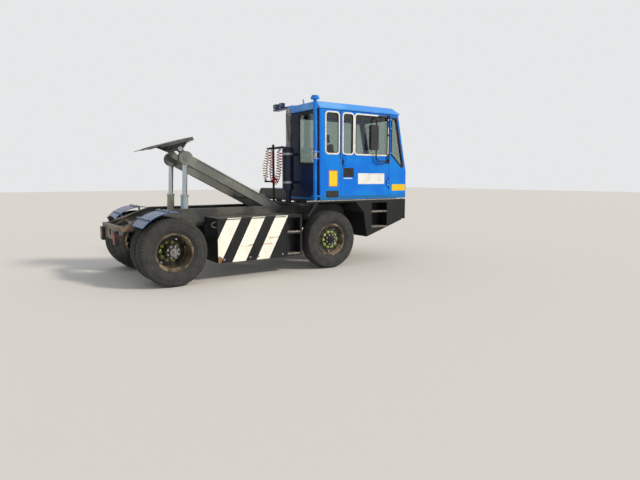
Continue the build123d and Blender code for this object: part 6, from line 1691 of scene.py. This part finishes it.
plate_up = on_plate(0, 0, 1) - on_plate(0, 0, 0)
lines = Piece("plate_grease_lines")
for radius, reach in ((0.215, 62), (0.335, 50)):
    for side, hand in HANDS:
        turns = [radians(hand * (20 + (reach - 20 + 40) * k / 24)) for k in range(25)]
        lines.skin([[on_plate(LOCK_X + r * cos(turn), r * sin(turn), PLATE_TOP + up)
                     for r, up in ((radius - 0.005, -0.0002), (radius - 0.005, 0.0006),
                                   (radius + 0.005, 0.0006), (radius + 0.005, -0.0002))] for turn in turns])
lines.done(seal_rubber, 0, body="coupling_plate")
ring_piece = Piece("plate_wear_ring")
ring_piece.turned(on_plate(LOCK_X, 0, 0), plate_up, ((0.112, 0.0285), (0.1405, 0.0285), (0.141, 0.03),
                                                    (0.141, 0.054), (0.14, 0.056)), 40)
for x, y in ((0.235, 0.0), (0.2, 0.18), (0.2, -0.18), (0.09, 0.36), (0.09, -0.36), (-0.15, 0.39),
             (-0.15, -0.39)):
    ring_piece.rod(on_plate(x, y, PLATE_TOP - 0.001), on_plate(x, y, PLATE_TOP + 0.0012), 0.014, 0.013)
    ring_piece.rod(on_plate(x, y, PLATE_TOP), on_plate(x, y, PLATE_TOP + 0.002), 0.006, sides=6)
ring_piece.done(stack_steel, 0.0003, body="coupling_plate")

LEVER_X, LEVER_Z = 0.075, 0.078
LOOP = ((0.0, -0.47), (0.016, -0.5), (0.046, -0.506), (0.056, -0.48), (0.04, -0.452), (0.0, -0.448))
lever = Piece("release_lever")
lever.rod(on_plate(LEVER_X, 0.06, LEVER_Z), on_plate(LEVER_X, -0.478, LEVER_Z), 0.009)
lever.pipe([on_plate(LEVER_X + a, b, LEVER_Z) for a, b in LOOP], 0.0065)
lever.rod(on_plate(LEVER_X, 0.04, 0.066), on_plate(LEVER_X, 0.04, 0.096), 0.015)
for number in range(22):
    coil = on_plate(LEVER_X, 0.075 + number * 0.007, LEVER_Z)
    lever.turned(coil, (0, 1, 0.2), ((-0.0016, 0.011), (0, 0.0135), (0.0016, 0.011)), 16)
lever.rod(on_plate(LEVER_X, 0.235, LEVER_Z), on_plate(LEVER_X, 0.268, LEVER_Z), 0.006)
lever.done(stack_steel, 0.0005, body="coupling_plate")
lugs = Piece("plate_lug_bolts")
for side, hand in HANDS:
    outer = hand * 0.3
    lugs.rod(on_plate(0, outer - hand * 0.001, 0), on_plate(0, outer + hand * 0.007, 0), 0.04)
    for turn in (radians(90), radians(210), radians(330)):
        lugs.bolt(on_plate(0.03 * cos(turn), outer + hand * 0.007, 0.03 * sin(turn)), (0, hand, 0), 0.01,
                  0.005, 0.001)
    nipple(lugs, on_plate(0, outer + hand * 0.007, 0), (0, hand, 0))
    for x in (0.235, 0.16, 0.085):
        lugs.bolt(on_plate(x, hand * 0.33, 0.0895), -plate_up, 0.016, 0.009)
lugs.done(zinc, 0.0006, body="coupling_plate")
print("coupling plate fitted")

# %% [markdown]
# Inside the cab: an instrument panel with six dials in a pod, a row of rocker switches, knobs and vents,
# the wheel's grips and horn button, two pedals, and a side console with three levers. The floor has a
# rubber mat, the door a trim panel with a pull, and the roof a lining.

# %% Instruments
WHEEL = Vector((4.11, -0.62, 1.905))
PANEL_FACE = Vector((4.3, 0, 1.72)), Vector((4.6, 0, 1.84))
panel_along = (PANEL_FACE[1] - PANEL_FACE[0]).normalized()
panel_up = Vector((-panel_along.z, 0, panel_along.x))


def on_panel(a, b, out):
    """A place on the dash's sloping top: a across from the driver's middle, b up the slope."""
    return PANEL_FACE[0] + Vector((0, WHEEL.y - a, 0)) + panel_along * b + panel_up * out


pod = Piece("instrument_pod")
pod.skin([[on_panel(a, b, out) for a, b in rounded((-0.215 + g, 0.06 + g), (0.215 - g, 0.235 - g), 0.03)]
          for g, out in ((0, -0.002), (0, 0.03), (0.006, 0.036), (0.016, 0.036), (0.02, 0.016))])
pod.slab(rounded((-0.196, 0.079), (0.196, 0.216), 0.012), on_panel, 0.012, 0.016)
pod.done(black_abs, 0.001)
DIALS = ((-0.12, 0.15, 0.052), (0.0, 0.15, 0.052), (0.1, 0.18, 0.026), (0.158, 0.18, 0.026),
         (0.1, 0.12, 0.026), (0.158, 0.12, 0.026))
TICKS = 9
faces, dial_rims, marks = Piece("dial_faces"), Piece("dial_bezels"), Piece("dial_marks")
for a, b, radius in DIALS:
    middle = on_panel(a, b, 0.016)
    faces.rod(middle, middle + panel_up * 0.003, radius * 0.93, sides=36)
    dial_rims.turned(middle, panel_up, ((0, radius * 0.92), (0.006, radius * 0.92), (0.008, radius * 0.96),
                                       (0.006, radius), (0, radius)), 36)
    for tick in range(TICKS):
        turn = radians(225 - tick * 270 / (TICKS - 1))
        inner, outer = radius * 0.68, radius * 0.86
        marks.rod(on_panel(a + inner * cos(turn), b + inner * sin(turn), 0.0195),
                  on_panel(a + outer * cos(turn), b + outer * sin(turn), 0.0195), 0.0009, sides=6)
    turn = radians(200 - 90 * (a + 0.2))
    marks.rod(on_panel(a, b, 0.0205), on_panel(a + radius * 0.7 * cos(turn), b + radius * 0.7 * sin(turn),
                                               0.0205), 0.0012, 0.0005, 8)
faces.done(plate_black, 0)
dial_rims.done(zinc, 0)
marks.done(plate_white, 0)
switches = Piece("rocker_switches")
for number in range(8):
    a = -0.47 + number * 0.032
    switches.slab(rounded((a - 0.012, 0.12), (a + 0.012, 0.165), 0.003, 3), on_panel, -0.001, 0.006)
    switches.slab(rounded((a - 0.009, 0.124), (a + 0.009, 0.142), 0.002, 3), on_panel, 0.006, 0.009)
for number in range(4):
    a = 0.28 + number * 0.045
    switches.rod(on_panel(a, 0.14, -0.001), on_panel(a, 0.14, 0.01), 0.014, 0.012)
switches.done(black_abs, 0.0008)
vents = Piece("dash_vents")
for a in (-0.4, 0.4):
    for number in range(6):
        b = 0.186 + number * 0.01
        vents.slab(((a - 0.06, b), (a + 0.06, b), (a + 0.06, b + 0.006), (a - 0.06, b + 0.006)), on_panel,
                   -0.001, 0.005)
vents.done(seal_rubber, 0.0005)
print("dials:", len(DIALS))

# %% Steering wheel, levers, pedals
wheel_frame = Matrix.Rotation(radians(-32), 4, "Y")


def on_wheel(x, y, z):
    return WHEEL + wheel_frame @ Vector((x, y, z))


grips = Piece("wheel_grips")
RIM_RADIUS, GRIP_RADIUS, GRIP_STEPS = 0.205, 0.0155, 18
for start in (15, 135, 255):
    rows = []
    for step in range(GRIP_STEPS + 1):
        turn = radians(start + step * 5)
        swell = GRIP_RADIUS * (0.9 if step in (0, GRIP_STEPS) else 1.0 + 0.05 * (step % 2))
        ring = [(RIM_RADIUS + swell * cos(k * tau / 12), swell * sin(k * tau / 12)) for k in range(12)]
        rows.append([on_wheel(away * cos(turn), away * sin(turn), up) for away, up in ring])
    rows = grips.skin(rows)
    grips.mesh.faces.new(rows[0])
    grips.mesh.faces.new(rows[-1])
grips.turned(on_wheel(0, 0, 0.002), wheel_frame @ UP,
             ((0, 0.001), (0, 0.046), (0.006, 0.044), (0.01, 0.034), (0.011, 0.001)), 36)
grips.done(seal_rubber, 0)
column = Piece("column_stalks")
column.turned(on_wheel(0, 0, -0.3), wheel_frame @ UP, ((0, 0.03), (0.0, 0.04), (0.215, 0.046), (0.24, 0.04),
                                                        (0.24, 0.03)), 32)
for way in (-1, 1):
    column.rod(on_wheel(0, way * 0.04, -0.095), on_wheel(-0.02, way * 0.16, -0.075), 0.006, 0.005)
    column.rod(on_wheel(-0.02, way * 0.155, -0.076), on_wheel(-0.026, way * 0.19, -0.07), 0.009, 0.008)
column.done(black_abs, 0.001)

pedals = Piece("pedals")
for y, high in ((-0.84, 1.385), (-0.7, 1.4)):
    pedals.slab(((4.145, 1.312), (4.155, 1.308), (4.235, high + 0.03), (4.226, high + 0.036)),
                wall("Y", y), -0.04, 0.04)
    for number in range(5):
        share = 0.15 + number * 0.17
        x, z = 4.145 + 0.081 * share, 1.312 + (high - 1.276) * share
        pedals.rod((x, y - 0.036, z), (x, y + 0.036, z), 0.0035, sides=8)
pedals.done(seal_rubber, 0.001)

console = Piece("side_console")
console.slab(((3.24, FLOOR_Z), (4.02, FLOOR_Z), (4.02, 1.64), (3.96, 1.7), (3.24, 1.7)),
             wall("Y", -0.215), -0.105, 0.12)
console.done(dash_abs, 0.012, 3)
LEVER_FOOT_Z = 1.69
BOOT = ((0, 0.001), (0, 0.034), (0.01, 0.03), (0.026, 0.014), (0.034, 0.007))
KNOB = ((-0.02, 0.001), (-0.018, 0.01), (0.0, 0.018), (0.018, 0.018), (0.03, 0.01), (0.032, 0.001))
levers = Piece("console_levers")
for x, y, high, lean in ((3.86, -0.25, 0.17, 0.03), (3.76, -0.16, 0.12, 0.0), (3.68, -0.16, 0.12, 0.0)):
    levers.rod((x, y, LEVER_FOOT_Z), (x + lean, y, LEVER_FOOT_Z + high), 0.006)
    levers.turned((x, y, 1.698), UP, BOOT, 24)
    levers.turned((x + lean, y, LEVER_FOOT_Z + high), UP, KNOB, 24)
levers.done(seal_rubber, 0)
mat = Piece("floor_mat")
mat.slab(rounded((3.0, -1.14), (4.25, -0.345), 0.04), wall("Z", FLOOR_Z), 0.0, 0.006)
for number in range(38):
    x = 3.03 + number * 0.032
    mat.block((x, -1.12, FLOOR_Z + 0.005), (x + 0.012, -0.365, FLOOR_Z + 0.009))
mat.done(seal_rubber, 0.0008)
print("levers, pedals and mat placed")

# %% Trim, lining, visor, belt
INNER_DOOR_Y, PULL_Z = -1.16, 1.88
on_door = wall("Y", INNER_DOOR_Y)
trim = Piece("door_trim")
trim.slab(rounded((3.19, 1.36), (4.27, 2.04), 0.04), on_door, -0.0005, 0.006)
for x in (3.24, 3.5, 3.76, 4.02, 4.22):
    for z in (1.4, 2.0):
        trim.rod(on_door(x, z, 0.005), on_door(x, z, 0.009), 0.008, 0.006, 14)
PULL = ((3.42, 0.004), (3.43, 0.034), (3.56, 0.038), (3.69, 0.034), (3.7, 0.004))
trim.pipe([on_door(x, PULL_Z, out) for x, out in PULL], 0.01)
trim.done(dash_abs, 0.0012, body="side_door")
for name, low, high, corner, place, depth, bevel in (
        ("left_wall_trim", (2.78, 1.34), (4.23, 1.9), 0.04, wall("Y", -0.08, -1), (-0.0005, 0.008), 0.0015),
        ("rear_wall_trim", (-1.13, 1.34), (-0.11, 1.87), 0.04, wall("X", 2.715), (-0.0005, 0.01), 0.0015),
        ("roof_lining", (2.78, -1.07), (4.4, -0.17), 0.06, wall("Z", 2.88), (-0.004, 0.004), 0.002)):
    panel = Piece(name)
    panel.slab(rounded(low, high, corner), place, *depth)
    panel.done(dash_abs, bevel)


def on_visor(a, b, out):
    """A place on the visor, which hangs forward from the roof by width and depth."""
    return (4.452 - b * 0.75, a, 2.868 - b * 0.66 + out)


visor = Piece("sun_visor")
visor.slab(rounded((-1.08, 0.0), (-0.42, 0.14), 0.02), on_visor, 0.0, 0.006)
visor.rod((4.455, -1.09, 2.871), (4.455, -0.41, 2.871), 0.006)
visor.done(dash_abs, 0.001)
reel = Piece("belt_reel")
reel.block((2.716, -0.9, 1.56), (2.77, -0.83, 1.68))
reel.done(black_abs, 0.004)
